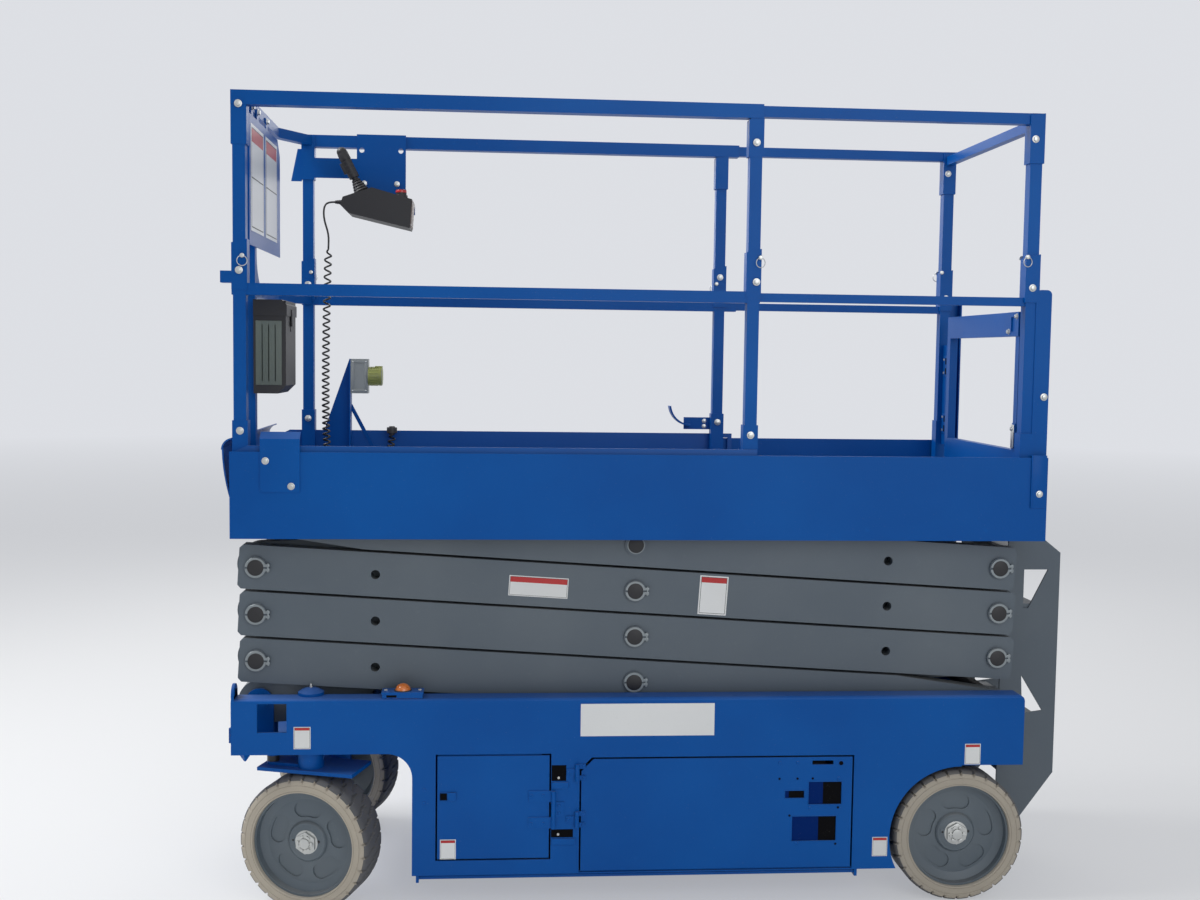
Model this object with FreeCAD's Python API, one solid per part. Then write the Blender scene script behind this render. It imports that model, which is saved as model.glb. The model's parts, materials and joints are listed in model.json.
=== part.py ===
import FreeCAD, Part
import math
import os

# Self-propelled scissor lift, stowed, millimetres.
# +X points to the ladder end, -X to the steering end, -Y is the machine's left side, +Z is up.
# The origin is on the ground under the middle of the overall box.
V = FreeCAD.Vector
AXIS_X = V(1, 0, 0)
AXIS_Y = V(0, 1, 0)
AXIS_Z = V(0, 0, 1)
LEFT = -1
RIGHT = 1
SIDES = {"left": LEFT, "right": RIGHT}

# Clearances
RUN = 0.1             # radial play of a pin in its bore
SEAT = 0.3            # gap between pieces that rest on each other
OVER = 1.0            # how far joined pieces reach into each other and cuts run past a face

# Overall places
FRONT_END = -1220.0
LADDER_END = 1220.0
HALF_WIDTH = 405.0

# Chassis
CHASSIS_FRONT = -1195.0
CHASSIS_REAR = 1045.0
CHASSIS_TOP = 603.0
CHASSIS_BOTTOM = 100.0
TOP_BEND_R = 10.0            # outer radius of the bend along the chassis' top edge
REAR_CORNER_R = 18.0
FRONT_SILL = 448.0
REAR_SILL = 400.0
PLATE = 6.0
FLANGE_PIN_GAP = 7.0         # from the arm pins' ends to the side channels' inner edge
ARCH_X = -700.0              # rear face of the front wheel arch
ARCH_ROUND = 70.0
REAR_ARCH_R = 206.0

TRAY_X = (-228.0, 546.0)
TRAY_Z = (108.0, 428.0)
TRAY_HINGE_X = -240.0
TRAY_FLOOR_X = (-214.0, 492.0)
TRAY_IN = 158.0
SMALL_X = (-630.0, -318.0)
SMALL_Z = (147.0, 440.0)
SMALL_HINGE_X = -306.0
TRAY_CORNER = 34.0           # bevel of a tray door's upper front corner
RECESS_DEPTH = 3.0
TRAY_RECESSES = ((421.0, 516.0, 291.0, 356.0), (375.0, 502.0, 185.0, 256.0), (353.0, 408.0, 310.0, 331.0))
TRAY_SLOT = (430.0, 491.0, 406.0, 418.0)
LATCH_X = (-622.0, -578.0)
LATCH_Z = (314.0, 338.0)
LATCH_T = 3.0
HINGE_OUT = 7.0              # how far the door hinges' pins stand out from the side plate
HINGE_R = 6.0
HINGE_PIN_R = 3.0
PANEL_GAP = 5.0
BRACKET_T = (10.0, 8.0)      # inner and outer ear of a front bracket
BRACKET_GAP = (7.0, 5.0)     # from each ear to the arm between them
REAR_MOUNT_T = 10.0
REAR_MOUNT_R = 90.0
REAR_MOUNT_GAP = 12.0        # from a rear tyre to its mount
DECK_PLATE_Z = FRONT_SILL
BULK_REAR_X = 640.0          # cross wall behind the trays
BRACKET_R = 40.0
BRACKET_PIN_OUT = 3.0
FRONT_PLATE_H = 46.0
REAR_PLATE_H = 120.0
TIE_DOWN_IN = 103.0
TIE_DOWN_T = 12.0
TIE_DOWN_H = 42.0
TIE_DOWN_EYE_R = 8.0
TIE_DOWN_EYE_IN = 12.0
TIE_DOWN_OUT = 27.0
SQUARE_HOLE = 80.0
SQUARE_HOLE_X = -1124.0
SQUARE_HOLE_Z = 511.0

# Doors, trays and guards under the chassis
TRAY_HINGE_Z = (257.0, 392.0)
SMALL_HINGE_Z = (286.0,)
TRAY_HINGE_H = 46.0
SMALL_HINGE_H = 107.0
SMALL_LEAF = 70.0            # how far the small door's hinge leaf reaches over the door
TRAY_LEAF = 30.0
LEAF_T = 3.0
KNUCKLE = 0.2                # half length of a fixed knuckle, as a share of its hinge
TRAY_FLOOR_Z = 114.0
TRAY_FLOOR_T = 5.0
TRAY_BACK_H = 76.0
LOAD_GAP = 12.0              # from a tray's edges to the block that it carries
LOAD_DOOR_GAP = 20.0
LOAD_TOP = 400.0
GUARD_X = (-680.0, 560.0)
GUARD_IN = 20.0
GUARD_Z = 89.0
GUARD_W = 66.0
GUARD_PIN_R = 6.0
GUARD_EAR_T = 8.0
GUARD_GAP = 1.0
GUARD_EAR_HALF = 12.0
GUARD_BAR_T = 6.0

# Wheels
WHEEL_FRONT_X = -985.0
WHEEL_REAR_X = 865.0
TYRE_R = 190.5
TYRE_W = 127.0
TYRE_ROUND = 14.0
RIM_R = 148.0
RIM_W = 104.0
RIM_LIP = 6.0
WEB_IN = 34.0                # how far the wheel disc lies behind the tyre's outer face
WEB_T = 14.0
HUB_R = 44.0
HUB_LEN = 60.0
HUB_OUT = 0.0                # how far the hub stands out from the disc
DISH = 8.0                  # depth of the disc's ring behind its edge
DISH_R = (58.0, 120.0)
WINDOWS = 5
WINDOW_R = 91.0
WINDOW_W = 44.0
WINDOW_ANGLE = 24.0
WINDOW_DEPTH = 4.0
AXLE_R = 20.0
STUB_R = 14.0
NUT_T = 12.0
NUT_R = 27.0

# Steering
KING_IN = 60.0
KING_SHAFT_R = 25.0
KING_BORE = 150.0
KING_DRUM_R = 36.0
SLEEVE_R = 36.0
SLEEVE_BOTTOM = 446.0
CAP_T = 8.0
DOME_H = 12.0
YOKE_TOP_Z = 398.0
YOKE_TOP_T = 10.0
YOKE_TOP_X = 142.0
YOKE_TOP_IN = 92.0           # reach of the top plate inboard and outboard of the king pin
YOKE_TOP_OUT = 46.0
YOKE_TYRE_GAP = 10.0
KING_SHAFT_H = 141.0
YOKE_SIDE_T = 12.0
YOKE_SIDE_X = 75.0
MOTOR_R = 62.0
MOTOR_LEN = 72.0
STEER_REST = -17.0           # angle of the steered wheels as parked, about +Z
STEER_ARM = 115.0
STEER_ARM_W = 34.0
STEER_ARM_T = 8.0
TIE_R = 7.0
TIE_EYE_R = 17.0
TIE_EYE_T = 16.0
TIE_PIN_R = 8.0

# Scissor stack
LEVELS = 4
PIN_FRONT_X = -1138.0
PIN_REAR_X = 985.0
PIN_BASE_Z = 564.0
LEVEL_RISE = 131.5
ARM_H = 124.0
ARM_END_R = 35.0
ARM_TAPER = 300.0
ARM_END = 48.0               # from a pin's middle to the square end of an outer arm
ARM_CHAMFER = 10.0
ARM_W = 50.0
ARM_GAP = 10.0               # between an inner and an outer arm
PIN_R = 23.0
PIN_OUT = 9.0                # how far a pin shows past the outer arm
COLLAR_R = 31.0
COLLAR_T = 7.0
CENTRE_PIN_IN = 2.0          # how far a centre pin ends short of the inner arm's inner face
OPEN_PIN = (2, 0)      # the cylinder passes between these two pins, so no tube joins them
CROSS_R = 30.0
CROSS_FRONT_U = 200.0
CROSS_REAR_U = 1980.0
CROSS_MID_U = 1065.0
EASE_HOLE_R = 13.0
EASE_HOLE_U = 330.0
BLOCK_LEN = 78.0
BLOCK_H = 44.0
BLOCK_PIN_R = 14.0
BLOCK_PIN_IN = 10.0
BLOCK_W = 43.0
BLOCK_SIDE_GAP = 12.0        # from a slide block to the side plate
BLOCK_ARM_GAP = 14.0         # from a slide block to the outer arm
TRACK_START_U = 1021.0        # how far from the front pins the slide tracks begin
TRACK_GAP = 3.0
TRACK_T = 5.0
TRACK_LIP = 4.0               # how far a track reaches inboard of its block

# Lift cylinder between the first and the third inner arms
BARREL_PIN_U = 1850.0
ROD_PIN_U = 300.0
BARREL_R = 54.0
ROD_R = 30.0
EYE_R = 38.0
BARREL_EYE_W = 100.0
ROD_EYE_W = 50.0
CYL_PIN_R = 20.0
BARREL_START = 46.0
BARREL_LEN = 1320.0
LUG_T = 14.0
LUG_GAP = 10.0
ROD_CROSS_U = 430.0          # cross tube that carries the rod's lugs, above the arm's line
ROD_CROSS_V = 38.0
ROD_CROSS_R = 22.0

# Platform
DECK_FRONT = -1195.0
DECK_REAR = 1088.0
DECK_TOP = 1140.0
DECK_T = 3.0
SKIRT_BOTTOM = 1048.0
SKIRT_TOP = 1286.0
SKIRT_T = 4.0
END_T = 5.0
TOP_EAR_T = (8.0, 6.0)       # inner and outer ear under the deck's front
TOP_EAR_GAP = 6.0
TOP_EAR_R = 36.0
EXT_LIFT = 4.0
EXT_T = 4.0
EXT_SIDE_GAP = 9.0           # from the extension's side to the platform's side
EXT_SIDE_T = 4.0
EXT_TOP = 1302.0
EXT_REAR = (254.0, 318.0)    # rear ends of the left and the right side
EXT_CORNER = (45.0, 22.0)    # bevel of the side's upper front corner
NOSE_UP = 20.0
NOSE_GAP = 2.0
NOSE_BULGE = 17.0
NOSE_DROP = 12.0
RUNNER_Y = (330.0, 370.0)
ARCH_CUT_X = (246.0, 304.0)  # opening in the right side, under its rear post
ARCH_CUT_TOP = 14.0

# Guard rails
RAIL_IN = 35.0
RAIL_TOP = 2255.0
MID_RAIL_TOP = 1742.0
TOP_TUBE = 38.0
TOP_INNER = 30.0
MID_TUBE = 32.0
MID_INNER = 24.0
TUBE_WALL = 3.0
POST = 34.0
SLEEVE = 42.0
FRONT_TUBE = 30.0
FRONT_MID_TUBE = 28.0
MAIN_RAIL_FRONT = -800.0
EXT_POST_X = (-1169.0, 235.0)    # left side, front and rear
FAR_POST_X = (-1085.0, 262.0)    # right side, front and rear
REAR_POST_X = 1030.0
BEND_IN = 160.0                  # where the front rail bends back, in from the right rail
MID_BEND_R = 110.0
FOOT_SLEEVE_UP = 68.0            # above the toe board
HINGE_SLEEVE = (-18.0, 118.0)    # ends of a hinge sleeve, from the top of the mid rail
TOP_SLEEVE_H = 143.0
SLEEVE_SLANT = 10.0
CHANNEL_T = 4.0
CHANNEL_UP = 18.0
CHANNEL_ROUND = 14.0
CHANNEL_IN = 36.0
BAR_DOWN = 20.0                  # from the top rail's top to the entry bar's
BAR_H = 28.0
BAR_W = 24.0
FRONT_CATCH = (30.0, 32.0)       # length and height of the catch in front of the left post

# Entry gate
GATE_HINGE_IN = 60.0         # from the post's inner face to the hinge pins
GATE_HINGE_Z = (1346.0, 1538.0)
GATE_HINGE_H = 70.0
GATE_T = 25.0
GATE_STILE = 28.0
GATE_STILE_IN = 10.0
GATE_TOP = 1700.0
GATE_RAIL_H = 70.0
GATE_KICK_TOP = 1302.0
GATE_BOTTOM_GAP = 12.0
GATE_KICK_T = 4.0
GATE_END_GAP = 15.0
GATE_PLATE_T = 2.0           # half thickness of the plate that carries the gate's hinges
GATE_LATCH_W = 82.0
GATE_SLOT = (30.0, 42.0)
GATE_HANDLE = (24.0, 78.0)

# Pieces on the extension
SECOND_POST_Y = -210.0
SIGN_Y = (-330.0, 200.0)
SIGN_DOWN = (50.0, 405.0)    # top and bottom of the sign panel, below the top rail's top
SIGN_T = 3.0
SIGN_BEVEL = 45.0
SIGN_TABS = (-300.0, -210.0, -60.0)
SIGN_TAB_W = 34.0
DOCUMENT_Y = (-262.0, -70.0)
DOCUMENT_DOWN = (42.0, 302.0)    # below the mid rail's top
DOCUMENT_DEPTH = 90.0
DOCUMENT_LID = 42.0
HANGER_X = (-929.0, -772.0)
HANGER_WING_X = -742.0
HANGER_T = 4.0
HANGER_HOLE_R = 8.0
HANGER_H = 250.0
HANGER_HOOK = 30.0
HANGER_BAR = (74.0, 137.0)       # height of the cross bar, below the top rail's top
CONTROL_W = 130.0
CONTROL_OUTLINE = ((-968.0, -235.0), (-960.0, -210.0), (-870.0, -179.0), (-744.0, -213.0),
                   (-751.0, -304.0), (-943.0, -260.0))      # x, and z from the top rail's top
STICK = ((-905.0, -189.0), (-966.0, -68.0))
STICK_R = 16.0
STICK_BOOT = (22.0, 11.0, 35.0)
STEM_R = 10.0
GRIP_START = 0.35                # share of the stick below its grip
BUTTON_X = -780.0
BUTTON_R = 17.0
BUTTON_H = 22.0
GUSSET_X = (-1139.0, -1118.0)
GUSSET_DOWN = (46.0, 149.0)
GUSSET_T = 4.0
OUTLET_X = (-1035.0, -948.0)
OUTLET_TOP = 1537.0
OUTLET_FOOT = 62.0               # how far the outlet's bracket reaches down inside the toe board
OUTLET_TIP = 8.0
OUTLET_BOX = (56.0, 50.0, 112.0)
OUTLET_SOCKET_R = 30.0
OUTLET_SOCKET_L = 46.0
STRUT_R = 6.0
RETAINER_X = (-1113.0, -1006.0)
RETAINER_BOTTOM = 1177.0
RETAINER_T = 4.0
RETAINER_UP = 18.0               # from the extension's top edge to the retainer's bend
RETAINER_LIP = 20.0
HANDLE_Z = (1316.0, 1356.0)
HANDLE_TIP = (100.0, 1394.0)
HANDLE_BEND = (116.0, 1355.0)
BEACON_X = -728.0
BEACON_FOOT = (45.0, 25.0, 4.0)
BEACON_R = 24.0
BEACON_H = 12.0

# Curly cord of the control box: a straight lead, then a coil, as places of its centre line
CORD_LEAD_R = 3.0
CORD_COIL_R = 13.0
CORD_Y = 250.0
GLAND_R = (7.0, 4.0)
LEAD_ROUTE = ((-988.0, 2031.0), (-1011.0, 2031.0), (-1023.0, 2013.0), (-1022.0, 1975.0), (-1006.6, 1930.0),
              (-1008.0, 1885.0))
COIL_ROUTE = ((-1008.0, 250.0, 1885.0), (-1029.0, 250.0, 1222.0), (-975.0, 277.0, 1162.0),
              (-870.0, 329.0, 1162.0), (-815.0, 356.0, 1224.0), (-815.0, 356.0, 1296.0))
BEND_SHARE = 0.45            # share of the shorter run that a bend takes at each corner
CLAMP_R = 16.0
CLAMP_H = 18.0

# Ladder
LADDER_Y = 205.0
LADDER_T = 6.0
LADDER_TOP = 1024.0
LADDER_BOTTOM = 166.0
LADDER_FOOT = (53.0, 67.0)       # the lower tip, from the chassis
LADDER_KNEE_Z = 314.0
LADDER_BEVEL = (48.0, 38.0)
LADDER_HOLES = (((1110.0, 935.0), (1184.0, 935.0), (1126.0, 818.0), (1110.0, 818.0)),
                ((1112.0, 614.0), (1180.0, 505.0), (1118.0, 497.0)))
RUNGS = 5
RUNG_FIRST = 330.0
RUNG_PITCH = 167.0
RUNG_H = 24.0
RUNG_X = (20.0, 110.0)
LOW_RUNG_OUT = 62.0

# Places that follow from the sizes above, as distances out from the middle plane
SIDE_IN = HALF_WIDTH - PLATE
SKIRT_IN = HALF_WIDTH - SKIRT_T
HINGE_Y = HALF_WIDTH + HINGE_OUT
GUARD_Y = HALF_WIDTH - GUARD_IN
WHEEL_Y = HALF_WIDTH - TYRE_W / 2
KING_Y = HALF_WIDTH - KING_IN
RAIL_Y = HALF_WIDTH - RAIL_IN
BEND_Y = RAIL_Y - BEND_IN
EXT_SIDE_Y = SKIRT_IN - EXT_SIDE_GAP
EXT_IN = EXT_SIDE_Y - EXT_SIDE_T
BLOCK_Y = (SIDE_IN - BLOCK_SIDE_GAP - BLOCK_W, SIDE_IN - BLOCK_SIDE_GAP)
OUTER_Y = (BLOCK_Y[0] - BLOCK_ARM_GAP - ARM_W, BLOCK_Y[0] - BLOCK_ARM_GAP)
INNER_Y = (OUTER_Y[0] - ARM_GAP - ARM_W, OUTER_Y[0] - ARM_GAP)
SIDE_FLANGE_IN = OUTER_Y[1] + PIN_OUT + FLANGE_PIN_GAP
BRACKET_Y = ((INNER_Y[0] - BRACKET_GAP[0] - BRACKET_T[0], INNER_Y[0] - BRACKET_GAP[0]),
             (INNER_Y[1] + BRACKET_GAP[1], INNER_Y[1] + BRACKET_GAP[1] + BRACKET_T[1]))
TOP_EAR_Y = ((OUTER_Y[0] - TOP_EAR_GAP - TOP_EAR_T[0], OUTER_Y[0] - TOP_EAR_GAP),
             (OUTER_Y[1] + TOP_EAR_GAP, OUTER_Y[1] + TOP_EAR_GAP + TOP_EAR_T[1]))
REAR_MOUNT_Y = (HALF_WIDTH - TYRE_W - REAR_MOUNT_GAP - REAR_MOUNT_T, HALF_WIDTH - TYRE_W - REAR_MOUNT_GAP)
TIE_DOWN_Y = (HALF_WIDTH - TIE_DOWN_IN - TIE_DOWN_T, HALF_WIDTH - TIE_DOWN_IN)
GATE_HINGE_Y = RAIL_Y - POST / 2 - GATE_HINGE_IN
GATE_END_Y = -(RAIL_Y - POST / 2 - GATE_END_GAP)
RAIL_INNER_FACE = RAIL_Y - TOP_TUBE / 2 - SEAT
EXT_FLOOR = DECK_TOP + EXT_LIFT + EXT_T


def box(x0, x1, y0, y1, z0, z1):
    return Part.makeBox(x1 - x0, y1 - y0, z1 - z0, V(x0, y0, z0))


def side_box(side, x0, x1, y0, y1, z0, z1):
    """A box whose y0 and y1 are distances out from the middle plane."""
    low, high = sorted((side * y0, side * y1))
    return box(x0, x1, low, high, z0, z1)


def rod(start, end, radius):
    along = end.sub(start)
    return Part.makeCylinder(radius, along.Length, start, along)


def pin(x, z, y0, y1, radius, side=RIGHT):
    """A cylinder along Y between two distances out from the middle plane."""
    low, high = sorted((side * y0, side * y1))
    return Part.makeCylinder(radius, high - low, V(x, low, z), AXIS_Y)


def slab(points, y0, y1):
    """A closed outline of (x, z) points, extruded from y0 to y1."""
    low, high = sorted((y0, y1))
    wire = Part.makePolygon([V(x, low, z) for x, z in points + points[:1]])
    return Part.Face(wire).extrude(V(0, high - low, 0))


def sheet(points, z0, z1):
    """A closed outline of (x, y) points, extruded from z0 to z1."""
    wire = Part.makePolygon([V(x, y, z0) for x, y in points + points[:1]])
    return Part.Face(wire).extrude(V(0, 0, z1 - z0))


def plank(points, x0, x1):
    """A closed outline of (y, z) points, extruded from x0 to x1."""
    wire = Part.makePolygon([V(x0, y, z) for y, z in points + points[:1]])
    return Part.Face(wire).extrude(V(x1 - x0, 0, 0))


def curved_strip(start, middle, end, thickness, y0, y1):
    """A strip bent along an arc through three (x, z) points, its thickness towards the centre."""
    outer = [V(x, y0, z) for x, z in (start, middle, end)]
    arc = Part.Arc(*outer).toShape()
    centre = arc.Curve.Center
    inner = [centre.add(p.sub(centre).multiply(1 - thickness / arc.Curve.Radius)) for p in outer]
    edges = [arc, Part.LineSegment(outer[2], inner[2]).toShape(),
             Part.Arc(inner[2], inner[1], inner[0]).toShape(),
             Part.LineSegment(inner[0], outer[0]).toShape()]
    return Part.Face(Part.Wire(edges)).extrude(V(0, y1 - y0, 0))


def upright(x, y, z0, z1, radius):
    return Part.makeCylinder(radius, z1 - z0, V(x, y, z0))


def hexagon(x, y0, y1, z, radius):
    """A six-sided nut with its axis along Y."""
    corners = [(x + radius * math.cos(math.radians(a)), z + radius * math.sin(math.radians(a)))
               for a in range(0, 360, 60)]
    return slab(corners, y0, y1)


def route_tube(points, radius):
    """A tube along straight runs joined by the largest tangent arcs that its runs allow."""
    p = [V(*q) for q in points]
    ends = [p[0]]
    edges = []
    bends = []
    for before, corner, after in zip(p, p[1:], p[2:]):
        back = before.sub(corner)
        ahead = after.sub(corner)
        shorter = min(back.Length, ahead.Length)
        back.normalize()
        ahead.normalize()
        half_turn = (math.pi - back.getAngle(ahead)) / 2
        reach = BEND_SHARE * shorter
        bend = reach / math.tan(half_turn)
        bends.append(round(bend, 1))
        first = corner.add(V(back).multiply(reach))
        last = corner.add(V(ahead).multiply(reach))
        inward = back.add(ahead).normalize()
        top = corner.add(V(inward).multiply(bend / math.cos(half_turn) - bend))
        edges.append(Part.LineSegment(ends[-1], first).toShape())
        edges.append(Part.Arc(first, top, last).toShape())
        ends.append(last)
    edges.append(Part.LineSegment(ends[-1], p[-1]).toShape())
    path = Part.Wire(edges)
    along = p[1].sub(p[0])
    section = Part.Wire(Part.makeCircle(radius, p[0], along))
    tube = path.makePipeShell([section], True, False)
    share = tube.Volume / (math.pi * radius ** 2 * path.Length)
    print("bends", bends, "length", round(path.Length, 1), "volume share", round(share, 4))
    return tube


def fuse(pieces):
    body = pieces[0]
    if len(pieces) > 1:
        body = pieces[0].multiFuse(pieces[1:])
    return body.removeSplitter()


def cut(body, tools):
    for tool in tools:
        body = body.cut(tool)
    return body


def mirrored(shape):
    return shape.mirror(V(0, 0, 0), AXIS_Y)


def both(shape):
    """The left piece with its mirror image on the right."""
    return Part.makeCompound([shape, mirrored(shape)])


def turned(shape, centre, axis, angle):
    copy = shape.copy()
    copy.rotate(centre, axis, angle)
    return copy


def export(name, shape):
    shape.exportStep("parts/%s.step" % name)


def band(points, width, z0, z1):
    """A flat bar of one width along a line of (x, y) points, with mitred bends."""
    half = width / 2
    edges = {1: [], -1: []}
    for i, (x, y) in enumerate(points):
        before = points[max(i - 1, 0)]
        after = points[min(i + 1, len(points) - 1)]
        first = V(x - before[0], y - before[1], 0)
        second = V(after[0] - x, after[1] - y, 0)
        if first.Length == 0:
            first = second
        if second.Length == 0:
            second = first
        first.normalize()
        second.normalize()
        mitre = first.add(second).normalize()
        reach = half / max(mitre.dot(first), 0.3)
        for sign in edges:
            edges[sign].append((x - sign * reach * mitre.y, y + sign * reach * mitre.x))
    return sheet(edges[1] + edges[-1][::-1], z0, z1)


def capsule(start, end, radius, y0, y1):
    """A flat link with round ends between two (x, z) points."""
    low, high = sorted((y0, y1))
    along = V(end[0] - start[0], 0, end[1] - start[1])
    length = along.Length
    bar = box(0, length, low, high, -radius, radius)
    angle = math.degrees(math.atan2(end[1] - start[1], end[0] - start[0]))
    bar.rotate(V(0, 0, 0), AXIS_Y, -angle)
    bar.translate(V(start[0], 0, start[1]))
    ends = [pin(x, z, low, high, radius) for x, z in (start, end)]
    return fuse([bar] + ends)


# Scissor geometry
PIN_SPAN = PIN_REAR_X - PIN_FRONT_X
ARM_LEN = math.hypot(PIN_SPAN, LEVEL_RISE)
REST_ANGLE = math.degrees(math.asin(LEVEL_RISE / ARM_LEN))
TRACK_FRONT = PIN_FRONT_X + TRACK_START_U


def level_z(level):
    """Height of the end pins under a level, counted from 0 at the base."""
    return PIN_BASE_Z + level * LEVEL_RISE


def on_arm(kind, level, u, v=0.0):
    """The (x, z) place of a point u along and v above an arm's line."""
    rise = REST_ANGLE if kind == "inner" else -REST_ANGLE
    start_z = level_z(level - 1) if kind == "inner" else level_z(level)
    a = math.radians(rise)
    return (PIN_FRONT_X + u * math.cos(a) - v * math.sin(a),
            start_z + u * math.sin(a) + v * math.cos(a))


def square_outline(front_r, rear_r):
    """Side face of an outer arm: square ends with cut corners, or a taper with a round end."""
    half = ARM_H / 2
    cut_z = half - ARM_CHAMFER
    front = [(-ARM_END, cut_z), (-ARM_END + ARM_CHAMFER, half)]
    if front_r < half:
        front = [(-front_r, front_r / 2), (-front_r / 2, front_r), (0, front_r), (ARM_TAPER, half)]
    end = ARM_LEN + ARM_END
    rear = [(end - ARM_CHAMFER, half), (end, cut_z)]
    if rear_r < half:
        end = ARM_LEN + rear_r
        rear = [(ARM_LEN - ARM_TAPER, half), (ARM_LEN, rear_r), (end - rear_r / 2, rear_r), (end, rear_r / 2)]
    top = front + rear
    points = [V(x, 0, z) for x, z in top + [(x, -z) for x, z in reversed(top)]]
    return Part.Face(Part.makePolygon(points + points[:1]))


def arm_outline(front_r, rear_r):
    """Side face of an inner arm along X, its front pin at the origin."""
    half = ARM_H / 2
    top = [(0, front_r)]
    if front_r < half:
        top.append((ARM_TAPER, half))
    if rear_r < half:
        top.append((ARM_LEN - ARM_TAPER, half))
    top.append((ARM_LEN, rear_r))
    upper = [V(x, 0, z) for x, z in top]
    lower = [V(x, 0, -z) for x, z in reversed(top)]
    edges = [Part.LineSegment(a, b).toShape() for a, b in zip(upper, upper[1:])]
    edges.append(Part.Arc(upper[-1], V(ARM_LEN + rear_r, 0, 0), lower[0]).toShape())
    edges += [Part.LineSegment(a, b).toShape() for a, b in zip(lower, lower[1:])]
    edges.append(Part.Arc(lower[-1], V(-front_r, 0, 0), upper[0]).toShape())
    return Part.Face(Part.Wire(edges))


def arm(kind, level, front_r, rear_r):
    """One left arm, in place, without its bores."""
    y0, y1 = INNER_Y if kind == "inner" else OUTER_Y
    outline = arm_outline if kind == "inner" else square_outline
    solid = outline(front_r, rear_r).extrude(V(0, y1 - y0, 0))
    solid.translate(V(0, -y1, 0))
    tilt = REST_ANGLE if kind == "inner" else -REST_ANGLE
    solid.rotate(V(0, 0, 0), AXIS_Y, -tilt)
    x, z = on_arm(kind, level, 0)
    solid.translate(V(x, 0, z))
    return solid


def inner_arms(level):
    """Both inner arms of a level with their cross tubes, level counted from 1."""
    full = ARM_H / 2
    top = level == LEVELS
    left = arm("inner", level, full, ARM_END_R if top else full)
    for u in (EASE_HOLE_U, ARM_LEN - EASE_HOLE_U):
        x, z = on_arm("inner", level, u)
        left = left.cut(pin(x, z, INNER_Y[0] - OVER, INNER_Y[1] + OVER, EASE_HOLE_R, LEFT))
    pieces = [left, mirrored(left)]
    crosses = [(CROSS_REAR_U, 0.0, CROSS_R)]
    if level == 3:
        crosses.append((ROD_CROSS_U, ROD_CROSS_V, ROD_CROSS_R))
    else:
        crosses.append((CROSS_FRONT_U, 0.0, CROSS_R))
    if level in (1, 3):
        crosses.append((CROSS_MID_U, 0.0, CROSS_R))
    for u, v, radius in crosses:
        x, z = on_arm("inner", level, u, v)
        pieces.append(pin(x, z, -INNER_Y[0] - OVER, INNER_Y[0] + OVER, radius))
    for side in SIDES.values():
        if level == 1:
            start = on_arm("inner", 1, CROSS_REAR_U)
            end = on_arm("inner", 1, BARREL_PIN_U)
            near = BARREL_EYE_W / 2 + LUG_GAP
            pieces.append(capsule(start, end, EYE_R, side * near, side * (near + LUG_T)))
            pieces.append(pin(end[0], end[1], 0, near + LUG_T, CYL_PIN_R, side))
        if level == 3:
            start = on_arm("inner", 3, ROD_CROSS_U, ROD_CROSS_V)
            end = on_arm("inner", 3, ROD_PIN_U)
            near = ROD_EYE_W / 2 + LUG_GAP + 7
            lug = capsule(start, end, EYE_R - 8, side * near, side * (near + LUG_T))
            lug = lug.fuse(pin(end[0], end[1], near, near + LUG_T, EYE_R, side))
            pieces.append(lug.cut(pin(end[0], end[1], near - 1, near + LUG_T + 1, CYL_PIN_R + RUN, side)))
    bored = fuse(pieces)
    for u in (0, ARM_LEN / 2, ARM_LEN):
        x, z = on_arm("inner", level, u)
        for side in SIDES.values():
            bored = bored.cut(pin(x, z, INNER_Y[0] - OVER, INNER_Y[1] + OVER, PIN_R + RUN, side))
    return bored


def outer_arms(level):
    """Both outer arms of a level with the pin tubes that they carry."""
    full = ARM_H / 2
    left = arm("outer", level, ARM_END_R if level == LEVELS else full,
               ARM_END_R if level == 1 else full)
    for u in (EASE_HOLE_U, ARM_LEN - EASE_HOLE_U):
        x, z = on_arm("outer", level, u)
        left = left.cut(pin(x, z, OUTER_Y[0] - OVER, OUTER_Y[1] + OVER, EASE_HOLE_R, LEFT))
    pieces = [left, mirrored(left)]
    shaft_end = OUTER_Y[1] + PIN_OUT
    for u in (0,) if level == 1 else (0, ARM_LEN):
        x, z = on_arm("outer", level, u)
        if (level, u) == OPEN_PIN:
            start = INNER_Y[0] + CENTRE_PIN_IN
            pieces += [pin(x, z, start, shaft_end, PIN_R, side) for side in SIDES.values()]
        else:
            pieces.append(pin(x, z, -shaft_end, shaft_end, PIN_R))
    x, z = on_arm("outer", level, ARM_LEN / 2)
    for side in SIDES.values():
        pieces.append(pin(x, z, INNER_Y[0] + CENTRE_PIN_IN, shaft_end, PIN_R, side))
    hidden = {(1, ARM_LEN), (LEVELS, 0)}
    for u in (0, ARM_LEN / 2, ARM_LEN):
        if (level, u) in hidden:
            continue
        x, z = on_arm("outer", level, u)
        for side in SIDES.values():
            pieces.append(pin(x, z, OUTER_Y[1] - OVER, OUTER_Y[1] + COLLAR_T, COLLAR_R, side))
    body = fuse(pieces)
    if level == 1:
        x, z = on_arm("outer", level, ARM_LEN)
        body = body.cut(pin(x, z, -OUTER_Y[1] - OVER, OUTER_Y[1] + OVER, PIN_R + RUN))
    return body


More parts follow.
